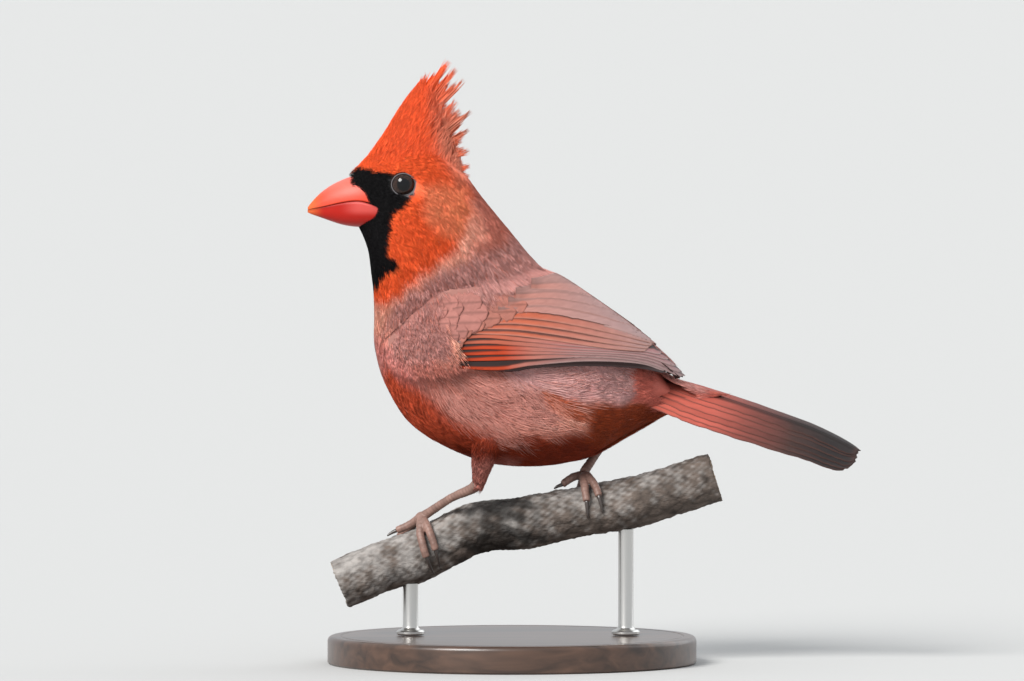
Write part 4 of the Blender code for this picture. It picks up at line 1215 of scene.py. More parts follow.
def vane_grid(vane, place, rows, columns, rng):
    """The points, colours and barb coordinates of a feather's upper side."""
    s = np.linspace(0, 1, rows) ** 0.9
    c = np.linspace(0, 1, columns)
    line = spline(vane.line, s * (len(vane.line) - 1))
    way = unit(np.gradient(line, axis=0))
    up = np.stack([-way[:, 1], way[:, 0]], axis=-1)
    taper = vane.root + (1 - vane.root) * smooth_step(s / 0.3)
    end = np.clip((s - 1 + vane.rounding) / vane.rounding, 0, 1)
    blunt = np.sqrt(np.maximum(1 - end ** 2.2, 0))
    ragged = 1 + vane.notch * 0.12 * rng.normal(size=rows) * (s > 0.15)
    width = vane.width * taper * np.maximum(blunt, 0.03)
    middle = vane.anchor + (0.5 - vane.anchor) * 0.7 * (1 - blunt)
    shift = (c[None] - middle[:, None]) * (width * ragged)[:, None]
    shift += ((middle - vane.anchor) * vane.width * taper)[:, None]
    flat = line[:, None] + up[:, None] * shift[..., None]
    point, outward = place(flat.reshape(-1, 2))
    point, outward = (each.reshape(rows, columns, 3) for each in (point, outward))
    lift = np.interp(s, (0, 1), vane.lift)[:, None]
    crown = vane.camber * 4 * c * (1 - c)
    ridge = 0.10 * np.exp(-((c - vane.shaft) * width[:, None] / 0.22) ** 2)
    height = lift + vane.tilt * (1 - c) + crown + ridge
    reach = np.concatenate([[0], np.cumsum(np.linalg.norm(np.diff(line, axis=0), axis=1))])
    from_shaft = (c[None] - vane.shaft) * width[:, None]
    barbs = np.stack([from_shaft / 10, (reach[:, None] - 1.1 * np.abs(from_shaft)) / 10], axis=-1)
    return (point + outward * height[..., None], outward, vane_colours(vane, s, c, width, rng),
            barbs)


def vane_colours(vane, s, c, width, rng):
    """Colours over a feather: the outer web, the darker inner web, which on the flight feathers also
    holds painted shade, the rim and the shaft.
    """
    c = 1 - c if vane.flipped else c
    stops, paints = zip(*vane.outer)
    outer = np.stack([np.interp(s, stops, [paint[k] for paint in paints]) for k in range(3)],
                     axis=-1)[:, None]
    across = (c[None] * width[:, None])[..., None]
    dark_from = vane.shaft * width[:, None, None]
    inner = np.array(vane.inner) if not callable(vane.inner) else vane.inner(s)
    web = blend(outer, inner, smooth_step((across - dark_from * 0.75) / 0.5))
    if vane.rim is not None:
        edge = np.minimum(across, (width[:, None, None] - across) + 0.2)
        tip = (1 - s)[:, None, None] * 14
        near = np.exp(-(np.minimum(edge, tip) / 0.38) ** 2)
        near = near * smooth_step((s - vane.rim_from) / 0.25)[:, None, None]
        web = blend(web, vane.rim, near * 0.8)
    shaft = np.exp(-((c[None] - vane.shaft) * width[:, None] / 0.18) ** 2)[..., None]
    web = web * (1 - 0.35 * shaft)
    streak = rng.normal(0, 0.05, (len(s), len(c), 1)) + rng.normal(0, 0.06)
    root = np.interp(s, (0, 0.12), (0.6, 1.0))[:, None, None]
    return np.clip(web * np.exp(streak) * root * VANE_TONE, 0, 1)


def vane_piece(name, vanes, place, material, slot, rng, size, mirror=False, nodes=()):
    """Builds feathers into one piece: thin closed sheets, on the right side where mirrored."""
    rows, columns = size
    corner = np.arange(rows * columns).reshape(rows, columns)
    quads = np.stack([corner[:-1, :-1], corner[:-1, 1:], corner[1:, 1:], corner[1:, :-1]],
                     axis=-1).reshape(-1, 4)
    loop = np.concatenate([corner[0, :-1], corner[:-1, -1], corner[-1, :0:-1], corner[:0:-1, 0]])
    after = np.roll(loop, -1)
    under = rows * columns
    rim = np.stack([loop, loop + under, after + under, after], axis=-1)
    pattern = np.concatenate([quads, quads[:, ::-1] + under, rim])
    points, faces, colours, barbs, bake = [], [], [], [], []
    across = math.ceil(math.sqrt(len(vanes)))
    for k, vane in enumerate(vanes):
        top, outward, paint, uv = vane_grid(vane, place, rows, columns, rng)
        thin = VANE_THICKNESS * (0.4 + 0.6 * np.sin(np.linspace(0, math.pi, columns)))[:, None]
        both = np.concatenate([top.reshape(-1, 3), (top - outward * thin).reshape(-1, 3)])
        points.append(both)
        faces.append(pattern + 2 * under * k)
        colours.append(np.tile(paint.reshape(-1, 3), (2, 1)))
        barbs.append(np.tile(uv.reshape(-1, 2), (2, 1)))
        grid = np.stack(np.meshgrid(np.linspace(0.05, 0.95, rows), np.linspace(0.05, 0.95, columns),
                                    indexing="ij"), axis=-1).reshape(-1, 2)
        bake.append(np.tile((grid + (k % across, k // across)) / across, (2, 1)))
    points, faces = np.concatenate(points), np.concatenate(faces)
    if mirror:
        points = points * (1, -1, 1)
        faces = faces[:, ::-1]
    obj = mesh_piece(name, points, faces, np.concatenate(colours), np.concatenate(bake))
    corner_places(obj, "Barbs", np.concatenate(barbs)[faces.ravel()])
    face_outwards(obj)
    settle(obj, material, slot, *nodes)


def vane_material(name):
    """Feather vanes: painted colour, with fine slanting barbs in relief."""
    material, shader = new_material(name, 0.6, 0.12)
    painted_colour(material, shader, 0.10, 60, stretch=(0.6, 14.0, 1.0), barbs=True)
    place = linked(material, "ShaderNodeUVMap", uv_map="Barbs")
    wave = linked(material, "ShaderNodeTexWave", wave_type="BANDS", bands_direction="Y")
    wave.inputs["Scale"].default_value = 6.5
    wave.inputs["Distortion"].default_value = 1.2
    material.node_tree.links.new(place.outputs["UV"], wave.inputs["Vector"])
    bumped(material, shader, wave.outputs["Fac"], 0.35, 0.00006)
    return material


def remiges():
    """The primaries, secondaries and tertials of a wing, from the lowest up."""
    vanes = {"primaries": [], "secondaries": []}
    for k, (line, width) in enumerate(PRIMARIES):
        high = k / (len(PRIMARIES) - 1)
        base = ORANGE_EDGE if k < 5 else SALMON_EDGE
        dull = 0.10 + 0.22 * high
        outer = ((0.0, base), (0.22, base), (0.34, (0.36, 0.13, 0.10)),
                 (0.5, (0.16 + dull / 2, 0.115, 0.105)), (1.0, (0.15 + dull / 2, 0.15, 0.15)))
        # The lowest vane, web and rim, is painted near-black as the shade in the gap under the wing
        if k == 0:
            outer = ((0.0, DARK_WEB), (0.8, DARK_WEB), (1.0, (0.08, 0.06, 0.06)))
        vanes["primaries"].append(Vane(
            line, width, lift=(-1.0 + 0.4 * high, -0.95 + 0.6 * high), tilt=0.3, camber=0.1,
            shaft=0.34, rounding=0.13, outer=outer,
            rim=(0.40, 0.28, 0.265) if k else (0.05, 0.035, 0.034), rim_from=0.3))
    for k, (line, width) in enumerate(SECONDARIES):
        high = k / (len(SECONDARIES) - 1)
        outer = ((0.0, (0.40, 0.085, 0.042)), (0.35, (0.40, 0.10, 0.055)),
                 (0.7, (0.36, 0.15, 0.12)), (1.0, (0.30, 0.19, 0.18)))
        vanes["secondaries"].append(Vane(
            line, width, lift=(-0.6 + 0.3 * high, -0.3 + 0.3 * high), tilt=0.4, camber=0.14,
            shaft=0.34 + 0.08 * high, rounding=0.10, outer=outer, inner=(0.10, 0.042, 0.036),
            rim=(0.42, 0.20, 0.155)))
    for k, (line, width) in enumerate(TERTIALS):
        high = k / (len(TERTIALS) - 1)
        outer = ((0.0, (0.40, 0.165, 0.13)), (0.5, (0.35, 0.19, 0.17)), (1.0, (0.30, 0.20, 0.195)))
        vanes["secondaries"].append(Vane(
            line, width, lift=(-0.3 + 0.2 * high, 0.0 + 0.25 * high), tilt=0.4, camber=0.3,
            shaft=0.45, rounding=0.16, outer=outer, inner=(0.30, 0.155, 0.135),
            rim=(0.38, 0.235, 0.21)))
    return vanes


def petal(root, tip, width, lift, paint, sag=0.0):
    """A short rounded covert between two places in side view."""
    (x0, z0), (x1, z1) = root, tip
    bend = ((x0 + x1) / 2, (z0 + z1) / 2 - sag)
    paint = np.array(paint)
    return Vane((root, bend, tip), width, lift=lift, anchor=0.5, tilt=0.06, camber=0.22,
                shaft=0.5, rounding=0.45, root=0.8, outer=((0.0, 0.9 * paint), (1.0, paint)),
                inner=0.96 * paint, rim=1.15 * paint, notch=0.9)


def coverts(rng):
    """The coverts and the alula of a wing, from the hindmost forward."""
    vanes = []

    def shaded(paint, spread=0.06):
        return np.array(paint) * math.exp(rng.normal(0, spread))

    for k in range(4):  # primary coverts
        z = 98.9 + 2.1 * k
        vanes.append(petal((-30.0, z + 0.2), (-16.8 + 0.5 * (k % 2), z + 0.6), 3.6,
                           (-0.8 + 0.1 * k, -0.35 + 0.1 * k), shaded(PRIMARY_COVERT)))
    for rows, low, high, paint in ((GREATER_COVERTS, -0.7, 0.05, COVERT_BROWN),
                                   (MEDIAN_COVERTS, -0.6, 0.30, COVERT_GREY)):
        for k, (x0, z0, x1, z1, width) in enumerate(rows):
            vanes.append(petal((x0, z0), (x1, z1), width, (low, high + 0.04 * k), shaded(paint)))
    for column in range(7):
        for row in range(7):
            z = 99.0 + 2.9 * (row + 0.5 * (column % 2)) + rng.normal(0, 0.45)
            x = -21.5 - 2.9 * column + 0.18 * (z - 108) + rng.normal(0, 0.55)
            if depth_inside(np.array([x - 1.0, z]), WING_OUTLINE) < 0.8:
                continue
            slope = (z - 107.0) * 0.05
            vanes.append(petal((x - 5.0, z - slope), (x + 4.2, z + slope),
                               5.6 + rng.normal(0, 0.5), (-0.45, 0.42 + 0.04 * column),
                               shaded(COVERT_GREY, 0.05)))
    vanes.append(petal((-38.6, 100.6), (-24.6, 100.2), 5.0, (-0.5, 0.62),
                       shaded((0.315, 0.12, 0.098)), sag=0.5))
    return vanes


def make_wings():
    """Both folded wings, feather by feather over a lining painted near-black as the shade beneath
    them.
    """
    side = WingSide(wing_form)
    flight, small = vane_material("flight feathers"), vane_material("wing coverts")
    dark, shader = new_material("wing lining", 0.8, 0.2)
    painted_colour(dark, shader, 0.1, 900)
    for side_name, mirror in (("left", False), ("right", True)):
        for name, vanes in remiges().items():
            rng = np.random.default_rng(600)
            vane_piece(f"{name}_feathers_{side_name}", vanes, side.place, flight,
                       "flight_feathers", rng, (38, 13), mirror, (f"{name}_{side_name}",))
        rng = np.random.default_rng(700)
        vane_piece(f"covert_feathers_{side_name}", coverts(rng), side.place, small,
                   "wing_coverts", rng, (18, 9), mirror, (f"wing_{side_name}",))
        nodes = [f"{part}_{side_name}" for part in ("wing", "secondaries", "primaries")]
        lining = smoothed_copy(f"wing_lining_{side_name}", nodes, 0.9, 8)
        apply_modifier(lining, "DISPLACE", strength=-1.3 * MM, mid_level=0.0)
        points = vertex_points(lining)
        front = smooth_step((-12.0 - points[:, :1]) / 6.0)
        rear = smooth_step((points[:, 2:] - 108.0) / 6.0)
        light = np.array((0.25, 0.11, 0.09)) * np.maximum(front, rear)
        # Painted shade: the lining is near-black under the flight feathers and below the wing, with
        # the coverts' paler tone at the front and the top
        paint_vertices(lining, np.array((0.035, 0.020, 0.018)) + light)
        settle(lining, dark, "wing_coverts")


def tail_place(flat):
    """Points and outward directions on the tail, from (distance along, distance out)."""
    rows = [(*ridge, half_width) for ridge, half_width in zip(TAIL_RIDGE, TAIL_HALF_WIDTHS)]
    t = flat[:, 0] / 10.0
    here = spline(rows, t)
    along = unit(spline(rows, t + 0.02)[:, :2] - spline(rows, t - 0.02)[:, :2])
    roll, roof = math.radians(TAIL_ROLL), math.tan(math.radians(TAIL_ROOF))
    out = flat[:, 1]
    drop = roof * np.hypot(out, 0.15 * here[:, 2])
    y = out * math.cos(roll) - drop * math.sin(roll)
    rise = out * math.sin(roll) - drop * math.cos(roll)
    points = np.stack([here[:, 0] - along[:, 1] * rise, y, here[:, 1] + along[:, 0] * rise], -1)
    lean = roll - np.arctan(roof) * np.tanh(out / 1.5)
    up = np.stack([-along[:, 1] * np.cos(lean), -np.sin(lean), along[:, 0] * np.cos(lean)], -1)
    return points, unit(up)


TAIL_PAINT = ((0.0, (0.42, 0.090, 0.062)), (0.30, (0.40, 0.086, 0.062)),
              (0.46, (0.15, 0.043, 0.034)), (0.62, (0.045, 0.024, 0.021)),
              (0.8, (0.019, 0.015, 0.015)), (1.0, (0.024, 0.019, 0.019)))


def tail_inner(s):
    """The hidden web of a tail feather, dusky and darker towards its tip."""
    fade = smooth_step((s - 0.2) / 0.5)[:, None, None]
    return blend((0.14, 0.038, 0.030), (0.020, 0.014, 0.013), fade)


def make_tail():
    """Twelve tail feathers, the middle pair on top."""
    material = vane_material("tail feathers")
    vanes = []
    length = 10.0 * (len(TAIL_RIDGE) - 1)
    for k in range(5, -1, -1):
        for way in (-1, 1):
            share, stop = TAIL_SHARES[k], length - TAIL_CUTS[k]
            stations = np.linspace(3.0, stop, 8)
            half = np.interp(stations / 10.0, range(len(TAIL_HALF_WIDTHS)), TAIL_HALF_WIDTHS)
            fold = 13.2 - 0.10 * np.maximum(stations - 56, 0) ** 1.2
            half = np.where(stations > 56, fold, half)
            reach = np.maximum(half * share - TAIL_FEATHER_WIDTH / 2, 0.6)
            line = [(s, way * out) for s, out in zip(stations, reach)]
            vanes.append(Vane(line, TAIL_FEATHER_WIDTH, lift=(-0.15 - 0.2 * k, 0.05 - 0.22 * k),
                              anchor=0.5, tilt=0.0, camber=0.16, shaft=0.5, rounding=0.10,
                              outer=TAIL_PAINT, inner=tail_inner, rim=(0.085, 0.042, 0.035),
                              flipped=way > 0))
    vane_piece("tail_feathers", vanes, tail_place, material, "tail_feathers",
               np.random.default_rng(800), (40, 13), nodes=("tail",))


def finer_copy(name, nodes, levels, crease_angle=55.0):
    """A copy of CAD nodes rounded by subdivision, with its sharp edges kept."""
    obj = node_copy(name, nodes)
    bpy.ops.object.mode_set(mode="EDIT")
    bpy.ops.mesh.select_all(action="SELECT")
    bpy.ops.mesh.tris_convert_to_quads(face_threshold=math.radians(40),
                                       shape_threshold=math.radians(60))
    bpy.ops.mesh.select_all(action="DESELECT")
    bpy.ops.mesh.select_mode(type="EDGE")
    bpy.ops.mesh.edges_select_sharp(sharpness=math.radians(crease_angle))
    bpy.ops.transform.edge_crease(value=0.8)
    bpy.ops.mesh.select_mode(type="VERT")
    bpy.ops.object.mode_set(mode="OBJECT")
    apply_modifier(obj, "SUBSURF", levels=levels, render_levels=levels)
    bpy.ops.object.shade_smooth_by_angle(angle=math.radians(60))
    return obj


# The bill: its upper half and the paler ridge, a painted highlight, its lower half and the paler
# rear, a painted highlight, and its tip
BILL_TOP, BILL_RIDGE_HIGHLIGHT = (0.66, 0.055, 0.022), (0.74, 0.135, 0.10)
BILL_BELOW, BILL_REAR_HIGHLIGHT, BILL_TIP = (0.36, 0.008, 0.003), (0.50, 0.065, 0.055), (0.60, 0.12, 0.028)
BILL_FRONT, BILL_LENGTH, BILL_LOW, BILL_HEIGHT = -66.5, 24.0, 142.0, 17.0
MOUTH_LINE = ((-66.4, -62.6, -59.4, -55.4, -51.4, -47.4, -43.4),
              (147.5, 148.3, 149.0, 150.0, 150.6, 150.4, 148.4))


def bill_colour(points, upper):
    """Coral red, paler along the ridge and at the upper rear of the lower half as painted
    highlights, orange at the tip, deep red under the front, and darker along the mouth as painted
    shade.
    """
    back = np.clip((points[:, :1] - BILL_FRONT) / BILL_LENGTH, 0, 1)
    height = np.clip((points[:, 2:] - BILL_LOW) / BILL_HEIGHT, 0, 1)
    if upper:
        # Painted highlight: paler towards the top of the upper half
        colour = blend(BILL_TOP, BILL_RIDGE_HIGHLIGHT, smooth_step((height - 0.5) / 0.35)) * 0.86
    else:
        # Painted highlight: paler on the upper rear of the lower half
        rear = smooth_step((back - 0.42) / 0.3) * smooth_step((height - 0.2) / 0.16)
        colour = blend(BILL_BELOW, BILL_REAR_HIGHLIGHT, rear)
    colour = blend(colour, BILL_TIP, smooth_step(1 - back / 0.24) * 0.85)
    # Painted shade: darker along the line between the two halves
    mouth_shade = smooth_step(1 - np.abs(points[:, 2:] - mouth_height(points[:, :1])) / 0.8)
    return colour * (1 - 0.3 * mouth_shade)


def mouth_height(x):
    """The height of the line between the halves of the bill."""
    return np.interp(x, *MOUTH_LINE)


def make_bill():
    """The two halves of the bill."""
    material, shader = new_material("bill horn", 0.42, 0.25)
    shader.inputs["Subsurface Weight"].default_value = 0.1
    shader.inputs["Subsurface Radius"].default_value = (0.003, 0.001, 0.0006)
    noise = painted_colour(material, shader, 0.05, 500, stretch=(0.4, 1.0, 1.6))
    bumped(material, shader, noise.outputs["Fac"], 0.15, 0.0001)
    for name in ("upper", "lower"):
        obj = finer_copy(f"bill_{name}_horn", [f"bill_{name}"], 3)
        if name == "lower":
            points = vertex_points(obj)
            below = mouth_height(points[:, 0]) - points[:, 2]
            points[:, 2] += 0.3 * smooth_step(1 - below / 0.9)
            set_vertex_points(obj, points)
        paint_vertices(obj, bill_colour(vertex_points(obj), name == "upper"))
        settle(obj, material, "bill_horn", f"bill_{name}")


PUPIL_BLACK, EYE_BROWN, LID_GREY = (0.002, 0.002, 0.0025), (0.020, 0.010, 0.007), (0.10, 0.095, 0.10)
LEG_TONE, CLAW_DARK = (0.20, 0.115, 0.092), (0.045, 0.034, 0.030)


def make_eyes():
    """Dark brown eyes with a black pupil under a clear, glossy surface."""
    material, shader = new_material("eye", 0.05, 0.32)
    paint = linked(material, "ShaderNodeAttribute", attribute_name=PAINT)
    material.node_tree.links.new(paint.outputs["Color"], shader.inputs["Base Color"])
    ex, ey, ez = EYE_CENTRE
    for name, side in SIDES:
        deselect()
        bpy.ops.mesh.primitive_uv_sphere_add(segments=64, ring_count=40,
                                             radius=(EYE_RADIUS - 0.1) * MM)
        obj = bpy.context.object
        obj.name = obj.data.name = f"eyeball_{name}"
        points = vertex_points(obj)[:, (0, 2, 1)] * (1, side, 1)
        points += (ex, side * ey, ez)
        set_vertex_points(obj, points)
        face_outwards(obj)
        bpy.ops.object.shade_smooth()
        away = np.hypot(points[:, 0] - ex, points[:, 2] - ez)
        pupil = smooth_step((away - PUPIL_RADIUS) / 0.25)[:, None]
        brown = np.array(EYE_BROWN) * np.exp(0.5 * ripple(points, 0.5, 5))[:, None]
        paint_vertices(obj, blend(PUPIL_BLACK, brown, pupil))
        settle(obj, material, "eye", f"eye_{name}")


def make_legs():
    """Bare tarsi and toes with their scales, and the claws."""
    for side_name, hub in LEG_HUBS:
        material, shader = new_material(f"leg scales {side_name}", 0.5, 0.4)
        nodes = (f"tarsus_{side_name}", f"foot_{side_name}")
        obj = smoothed_copy(f"leg_{side_name}", nodes, 0.25, 10)
        points = vertex_points(obj)
        away = np.linalg.norm(points - hub, axis=1)
        normals = vertex_values(obj, "normal")
        scute = (away / LEG_SCALE) % 1
        height = 0.06 * (1 - scute) ** 1.5 + 0.05 * ripple(points, 1.2, 31) + 0.10
        set_vertex_points(obj, points + normals * height[:, None])
        shade = 0.80 + 0.20 * smooth_step(scute / 0.3) * smooth_step((1 - scute) / 0.12)
        tone = np.array(LEG_TONE) * shade[:, None]
        tone *= np.exp(0.18 * ripple(points, 2.0, 32))[:, None]
        paint_vertices(obj, tone)
        noise = painted_colour(material, shader, 0.15, 1500)
        bumped(material, shader, noise.outputs["Fac"], 0.3, 0.0001)
        settle(obj, material, "leg_scales", *nodes)
        horn, shader = new_material(f"claw horn {side_name}", 0.3, 0.5, coat=0.2)
        shader.inputs["Base Color"].default_value = (*CLAW_DARK, 1.0)
        claws = [f"claw_{side_name}_{k}" for k in range(1, 5)]
        settle(smoothed_copy(f"claws_{side_name}", claws, 0.17, 6), horn, "claw_horn", *claws)


BARK_BROWN, BARK_GREY, SAWN_WOOD = (0.095, 0.074, 0.062), (0.27, 0.25, 0.235), (0.42, 0.30, 0.19)


def make_perch():
    """The cut branch, with rough brown and grey bark, a painted shadow under the bird, and sawn
    ends.
    """
    obj = finer_copy("branch", ["perch"], 3, crease_angle=50.0)
    apply_modifier(obj, "REMESH", mode="VOXEL", voxel_size=0.5 * MM, use_smooth_shade=True)
    points = vertex_points(obj)
    normals = vertex_values(obj, "normal")
    low, high = points[:, 0].min(), points[:, 0].max()
    cut_left = smooth_step((-normals[:, 0] - 0.82) / 0.08) * (points[:, 0] < low + 5)
    cut_right = smooth_step((normals[:, 0] - 0.82) / 0.08) * (points[:, 0] > high - 5)
    cut = np.maximum(cut_left, cut_right)
    crack = np.abs(ripple(points * (0.35, 1.0, 1.0), 1.9, 41)) ** 0.5
    height = 0.22 * ripple(points, 5.5, 42) + 0.30 * (crack - 0.6) + 0.12 * ripple(points, 1.3, 43)
    set_vertex_points(obj, points + normals * ((0.18 + height) * (1 - cut))[:, None])
    # Darker in the sunken cracks: partly the bark's own darker fissures and partly painted shade in
    # them
    bark = np.array(BARK_BROWN) * (0.5 + 0.7 * crack)[:, None]
    grey = np.array(BARK_GREY) * (0.65 + 0.4 * crack)[:, None]
    patches = 0.32 * ripple(points * (0.6, 1.0, 1.0), 4.2, 44) + 0.32 * ripple(points, 1.3, 45)
    share = smooth_step(0.36 + patches + 0.30 * normals[:, 2] - 0.004 * points[:, 0])
    colour = blend(bark, grey, share[:, None])
    # Painted shadow of the bird's body on the branch between the feet, with dark patches of the bark
    # over it
    dark = 0.95 * np.exp(-((points[:, 0] + 5.0) / 15.0) ** 2) + 0.35 * ripple(points, 3.6, 47)
    colour = colour * (1 - 0.78 * smooth_step((dark - 0.25) / 0.6)[:, None])
    middle = np.where(points[:, :1] < 0, points[cut_left > 0.9].mean(0),
                      points[cut_right > 0.9].mean(0))
    ring = np.linalg.norm(points - middle, axis=1)
    rings = 0.82 + 0.18 * np.sin(ring * 5.0 + ripple(points, 3, 50))
    wood = np.array(SAWN_WOOD) * rings[:, None]
    paint_vertices(obj, blend(colour, wood, cut[:, None]))
    material, shader = new_material("bark", 0.85, 0.25)
    noise = painted_colour(material, shader, 0.35, 1100, stretch=(0.6, 1.0, 1.0))
    bumped(material, shader, noise.outputs["Fac"], 0.8, 0.0006)
    settle(obj, material, "bark", "perch")


def turned(name, profile, centre, sides=96):
    """A turned piece: a profile of (radius, height) points spun round an upright axis."""
    deselect()
    bpy.ops.mesh.primitive_plane_add(size=1.0)
    obj = bpy.context.object
    obj.name = obj.data.name = name
    shape = bmesh.new()
    line = [shape.verts.new((centre[0] * MM + radius * MM, centre[1] * MM, height * MM))
            for radius, height in profile]
    for one, two in zip(line, line[1:]):
        shape.edges.new((one, two))
    shape.to_mesh(obj.data)
    shape.free()
    bpy.ops.object.mode_set(mode="EDIT")
    bpy.ops.mesh.select_all(action="SELECT")
    bpy.ops.mesh.spin(steps=sides, angle=FULL_TURN, center=(centre[0] * MM, centre[1] * MM, 0.0),
                      axis=(0.0, 0.0, 1.0))
    bpy.ops.mesh.select_all(action="SELECT")
    bpy.ops.mesh.remove_doubles(threshold=1e-6)
    bpy.ops.mesh.normals_make_consistent(inside=False)
    bpy.ops.object.mode_set(mode="OBJECT")
    bpy.ops.object.shade_smooth_by_angle(angle=math.radians(32))
    return obj


def make_stand():
    """The turned base with its two rods."""
    settings = bpy.context.scene.cardinal_stage
    low, high = (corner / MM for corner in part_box("stand_base"))
    radius, top = (high.x - low.x) / 2, high.z
    edge = 1.6
    profile = [(0.0, 0.0), (radius - 0.6, 0.0), (radius, 0.6)]
    profile += [(radius - edge * (1 - math.cos(a)), top - edge + edge * math.sin(a))
                for a in np.linspace(0, math.pi / 2, 7)]
    profile += [(radius - edge - 2.2, top), (radius - edge - 2.7, top - 0.35),
                (radius - edge - 3.2, top), (0.0, top)]
    base = turned("base_wood", profile, (0.0, 0.0), 128)
    wood, shader = new_material("stand wood", 0.36, 0.5, coat=0.25)
    shader.inputs["Coat Roughness"].default_value = 0.18
    wood_grain(wood, shader, settings.wood)
    settle(base, wood, "stand_wood", "stand_base")
    steel, shader = new_material("stand rods", 0.28, 0.5)
    shader.inputs["Metallic"].default_value = 1.0
    shader.inputs["Base Color"].default_value = (0.56, 0.55, 0.53, 1.0)
    noise = fine_noise(steel, 300.0, stretch=(1.0, 1.0, 30.0))
    bumped(steel, shader, noise.outputs["Fac"], 0.1, 0.00005)
    for k in (1, 2):
        low, high = (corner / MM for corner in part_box(f"stand_rod_{k}"))
        centre = ((low.x + high.x) / 2, (low.y + high.y) / 2)
        profile = [(0.0, low.z), (4.2, low.z), (4.6, low.z + 0.4), (4.6, low.z + 1.1),
                   (4.1, low.z + 1.6), (3.2, low.z + 1.8), (2.7, low.z + 2.3), (2.5, low.z + 3.2),
                   (2.5, high.z), (0.0, high.z)]
        rod = turned(f"rod_{k}", profile, centre, 48)
        settle(rod, steel, "stand_rods", f"stand_rod_{k}")


def wood_grain(material, shader, colour):
    """Dark stained wood whose grain runs along X."""
    links = material.node_tree.links
    noise = fine_noise(material, 4.0, stretch=(3.0, 60.0, 60.0), Detail=6.0, Distortion=0.6)
    ramp = linked(material, "ShaderNodeValToRGB")
    ramp.color_ramp.elements[0].position = 0.3
    ramp.color_ramp.elements[0].color = (*(0.45 * v for v in colour), 1.0)
    ramp.color_ramp.elements[1].position = 0.72
    ramp.color_ramp.elements[1].color = (*(1.5 * v for v in colour), 1.0)
    links.new(noise.outputs["Fac"], ramp.inputs["Fac"])
    links.new(ramp.outputs["Color"], shader.inputs["Base Color"])
    bumped(material, shader, noise.outputs["Fac"], 0.12, 0.0002)


FLOOR_RADIUS = 40.0  # metres, so that the floor fills the picture behind the bird
CAMERA_LENS, CAMERA_DISTANCE, CAMERA_ELEVATION = 600.0, 5.547, 2.5
CAMERA_AIM = (0.0, 0.0, 0.1051)
KEY_PLACE, FILL_PLACE, FILL_SHARE = (-0.75, -1.0, 0.95), (0.9, 0.7, 0.7), 0.22


def soft_light(name, place, strength, spread, colour):
    """A wide, distant lamp that shines from the way of a place towards the origin."""
    lamp = bpy.data.lights.new(name, "SUN")
    lamp.energy = strength
    lamp.angle = math.radians(spread)
    lamp.color = colour
    obj = bpy.data.objects.new(name, lamp)
    obj.location = place
    obj.rotation_mode = "QUATERNION"
    obj.rotation_quaternion = (-Vector(place)).to_track_quat("-Z", "Y")
    bpy.context.scene.collection.objects.link(obj)


def make_stage():
    """A pale floor, soft studio light and the camera."""
    settings = bpy.context.scene.cardinal_stage
    deselect()
    bpy.ops.mesh.primitive_circle_add(vertices=96, radius=FLOOR_RADIUS, fill_type="NGON")
    floor = bpy.context.object
    floor.name = "floor"
    material, shader = new_material("pale floor", 0.9, 0.2)
    shader.inputs["Base Color"].default_value = (*settings.floor, 1.0)
    floor.data.materials.append(material)
    world = bpy.data.worlds.new("studio")
    world.use_nodes = True
    sky = world.node_tree.nodes["Background"]
    sky.inputs["Color"].default_value = (0.93, 0.965, 1.0, 1.0)
    sky.inputs["Strength"].default_value = settings.ambient
    bpy.context.scene.world = world
    soft_light("key", KEY_PLACE, settings.key, 28.0, (1.0, 0.985, 0.96))
    soft_light("fill", FILL_PLACE, settings.key * FILL_SHARE, 60.0, (0.95, 0.98, 1.0))
    lens = bpy.data.cameras.new("camera")
    lens.lens = CAMERA_LENS
    lens.clip_start, lens.clip_end = 0.5, 3 * FLOOR_RADIUS
    camera = bpy.data.objects.new("camera", lens)
    rise = math.radians(CAMERA_ELEVATION)
    back = Vector((0.0, -math.cos(rise), math.sin(rise)))
    camera.location = Vector(CAMERA_AIM) + back * CAMERA_DISTANCE
    camera.rotation_mode = "QUATERNION"
    camera.rotation_quaternion = (-back).to_track_quat("-Z", "Y")
    bpy.context.scene.collection.objects.link(camera)
    bpy.context.scene.camera = camera
    bpy.context.scene.view_settings.view_transform = "Standard"


class CardinalPlumage(bpy.types.PropertyGroup):
    """How the coat is grown."""

    length: FloatProperty(name="Length", description="Length of the barbs over the usual",
                          default=1.0, min=0.2, max=3.0)
    spacing: FloatProperty(name="Spacing", description="Distance between tufts over the usual",
                           default=1.0, min=0.4, max=4.0)
    barb_width: FloatProperty(name="Barb Width", description="Width of the barbs over the usual",
                              default=1.0, min=0.2, max=4.0)
    mottle: FloatProperty(name="Mottle", description="How much the barbs differ in lightness",
                          default=0.07, min=0.0, max=0.5)


class CardinalStage(bpy.types.PropertyGroup):
    """The floor and the light."""

    floor: FloatVectorProperty(name="Floor", description="Colour of the floor",
                               subtype="COLOR", default=(0.43, 0.43, 0.425), min=0.0, max=1.0)
    ambient: FloatProperty(name="Ambient", description="Strength of the light from all round",
                           default=0.85, min=0.0, max=5.0)
    wood: FloatVectorProperty(name="Wood", description="Colour of the base", subtype="COLOR",
                              default=(0.055, 0.028, 0.017), min=0.0, max=1.0)
    key: FloatProperty(name="Key", description="Strength of the main light", default=4.5, min=0.0,
                       max=50.0)


class MakeSkin(bpy.types.Operator):
    """Make the skin that carries the coat"""

    bl_idname = "cardinal.skin"
    bl_label = "Skin"

    def execute(self, context):
        make_skin()
        return {"FINISHED"}


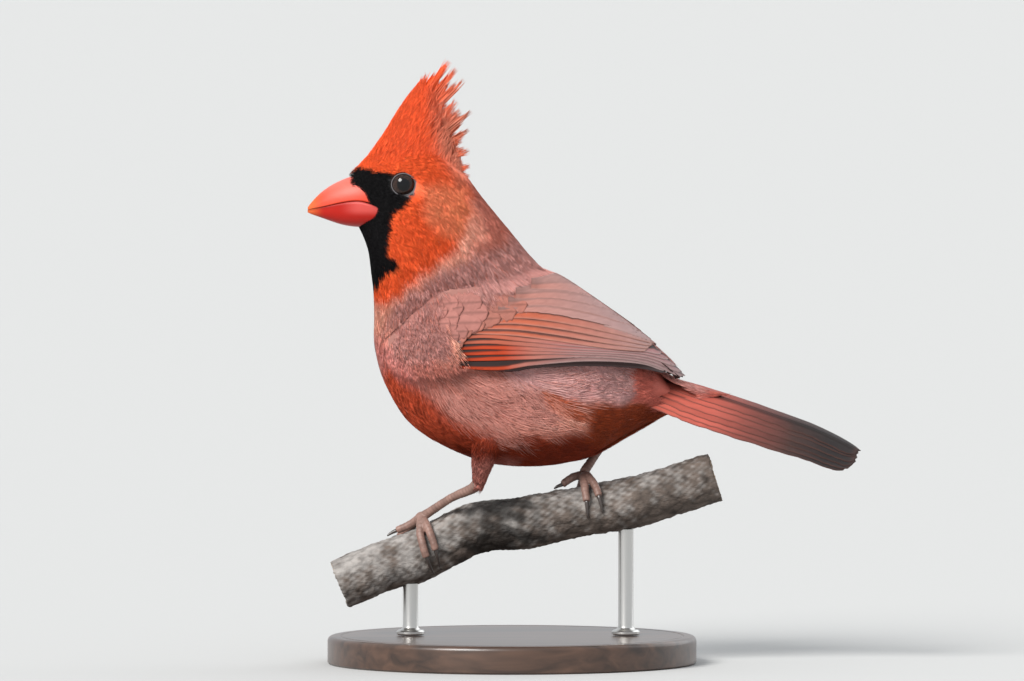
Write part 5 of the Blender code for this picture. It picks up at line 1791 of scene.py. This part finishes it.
class MakeCoat(bpy.types.Operator):
    """Grow the coat of small feathers"""

    bl_idname = "cardinal.coat"
    bl_label = "Coat"

    def execute(self, context):
        make_coat()
        return {"FINISHED"}


class MakeWings(bpy.types.Operator):
    """Lay the feathers of both folded wings"""

    bl_idname = "cardinal.wings"
    bl_label = "Wings"

    def execute(self, context):
        make_wings()
        return {"FINISHED"}


class MakeTail(bpy.types.Operator):
    """Lay the twelve tail feathers"""

    bl_idname = "cardinal.tail"
    bl_label = "Tail"

    def execute(self, context):
        make_tail()
        return {"FINISHED"}


class MakeBill(bpy.types.Operator):
    """Finish the two halves of the bill"""

    bl_idname = "cardinal.bill"
    bl_label = "Bill"

    def execute(self, context):
        make_bill()
        return {"FINISHED"}


class MakeEyes(bpy.types.Operator):
    """Set the two eyes"""

    bl_idname = "cardinal.eyes"
    bl_label = "Eyes"

    def execute(self, context):
        make_eyes()
        return {"FINISHED"}


class MakeLegs(bpy.types.Operator):
    """Finish the bare legs, toes and claws"""

    bl_idname = "cardinal.legs"
    bl_label = "Legs"

    def execute(self, context):
        make_legs()
        return {"FINISHED"}


class MakePerch(bpy.types.Operator):
    """Finish the cut branch"""

    bl_idname = "cardinal.perch"
    bl_label = "Perch"

    def execute(self, context):
        make_perch()
        return {"FINISHED"}


class MakeStand(bpy.types.Operator):
    """Finish the base and the rods"""

    bl_idname = "cardinal.stand"
    bl_label = "Stand"

    def execute(self, context):
        make_stand()
        return {"FINISHED"}


class MakeStage(bpy.types.Operator):
    """Set out the floor, the light and the camera"""

    bl_idname = "cardinal.stage"
    bl_label = "Stage"

    def execute(self, context):
        make_stage()
        return {"FINISHED"}


class CardinalPanel(bpy.types.Panel):
    """The sizes and colours of the cardinal, and the steps that build it"""

    bl_idname = "VIEW3D_PT_cardinal"
    bl_label = "Northern Cardinal"
    bl_space_type = "VIEW_3D"
    bl_region_type = "UI"
    bl_category = "Cardinal"

    def draw(self, context):
        """Lists the sizes and colours, and a button for each step."""
        for group in (context.scene.cardinal_plumage, context.scene.cardinal_stage):
            box = self.layout.box()
            for name in group.__annotations__:
                box.prop(group, name)
        for step in STEPS:
            self.layout.operator(step.bl_idname)


GROUPS = (CardinalPlumage, CardinalStage)
STEPS = (MakeSkin, MakeCoat, MakeWings, MakeTail, MakeBill, MakeEyes,
         MakeLegs, MakePerch, MakeStand, MakeStage)


def register():
    """Makes Blender know the sizes, the steps and the panel."""
    for one in (*GROUPS, *STEPS, CardinalPanel):
        bpy.utils.register_class(one)
    bpy.types.Scene.cardinal_plumage = PointerProperty(type=CardinalPlumage)
    bpy.types.Scene.cardinal_stage = PointerProperty(type=CardinalStage)


def unregister():
    """Takes them out again."""
    del bpy.types.Scene.cardinal_plumage
    del bpy.types.Scene.cardinal_stage
    for one in reversed((*GROUPS, *STEPS, CardinalPanel)):
        bpy.utils.unregister_class(one)


def main():
    """Builds the cardinal step by step."""
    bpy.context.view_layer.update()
    register()
    for step in STEPS:
        group, name = step.bl_idname.split(".")
        getattr(getattr(bpy.ops, group), name)()


if __name__ == "__main__":
    main()
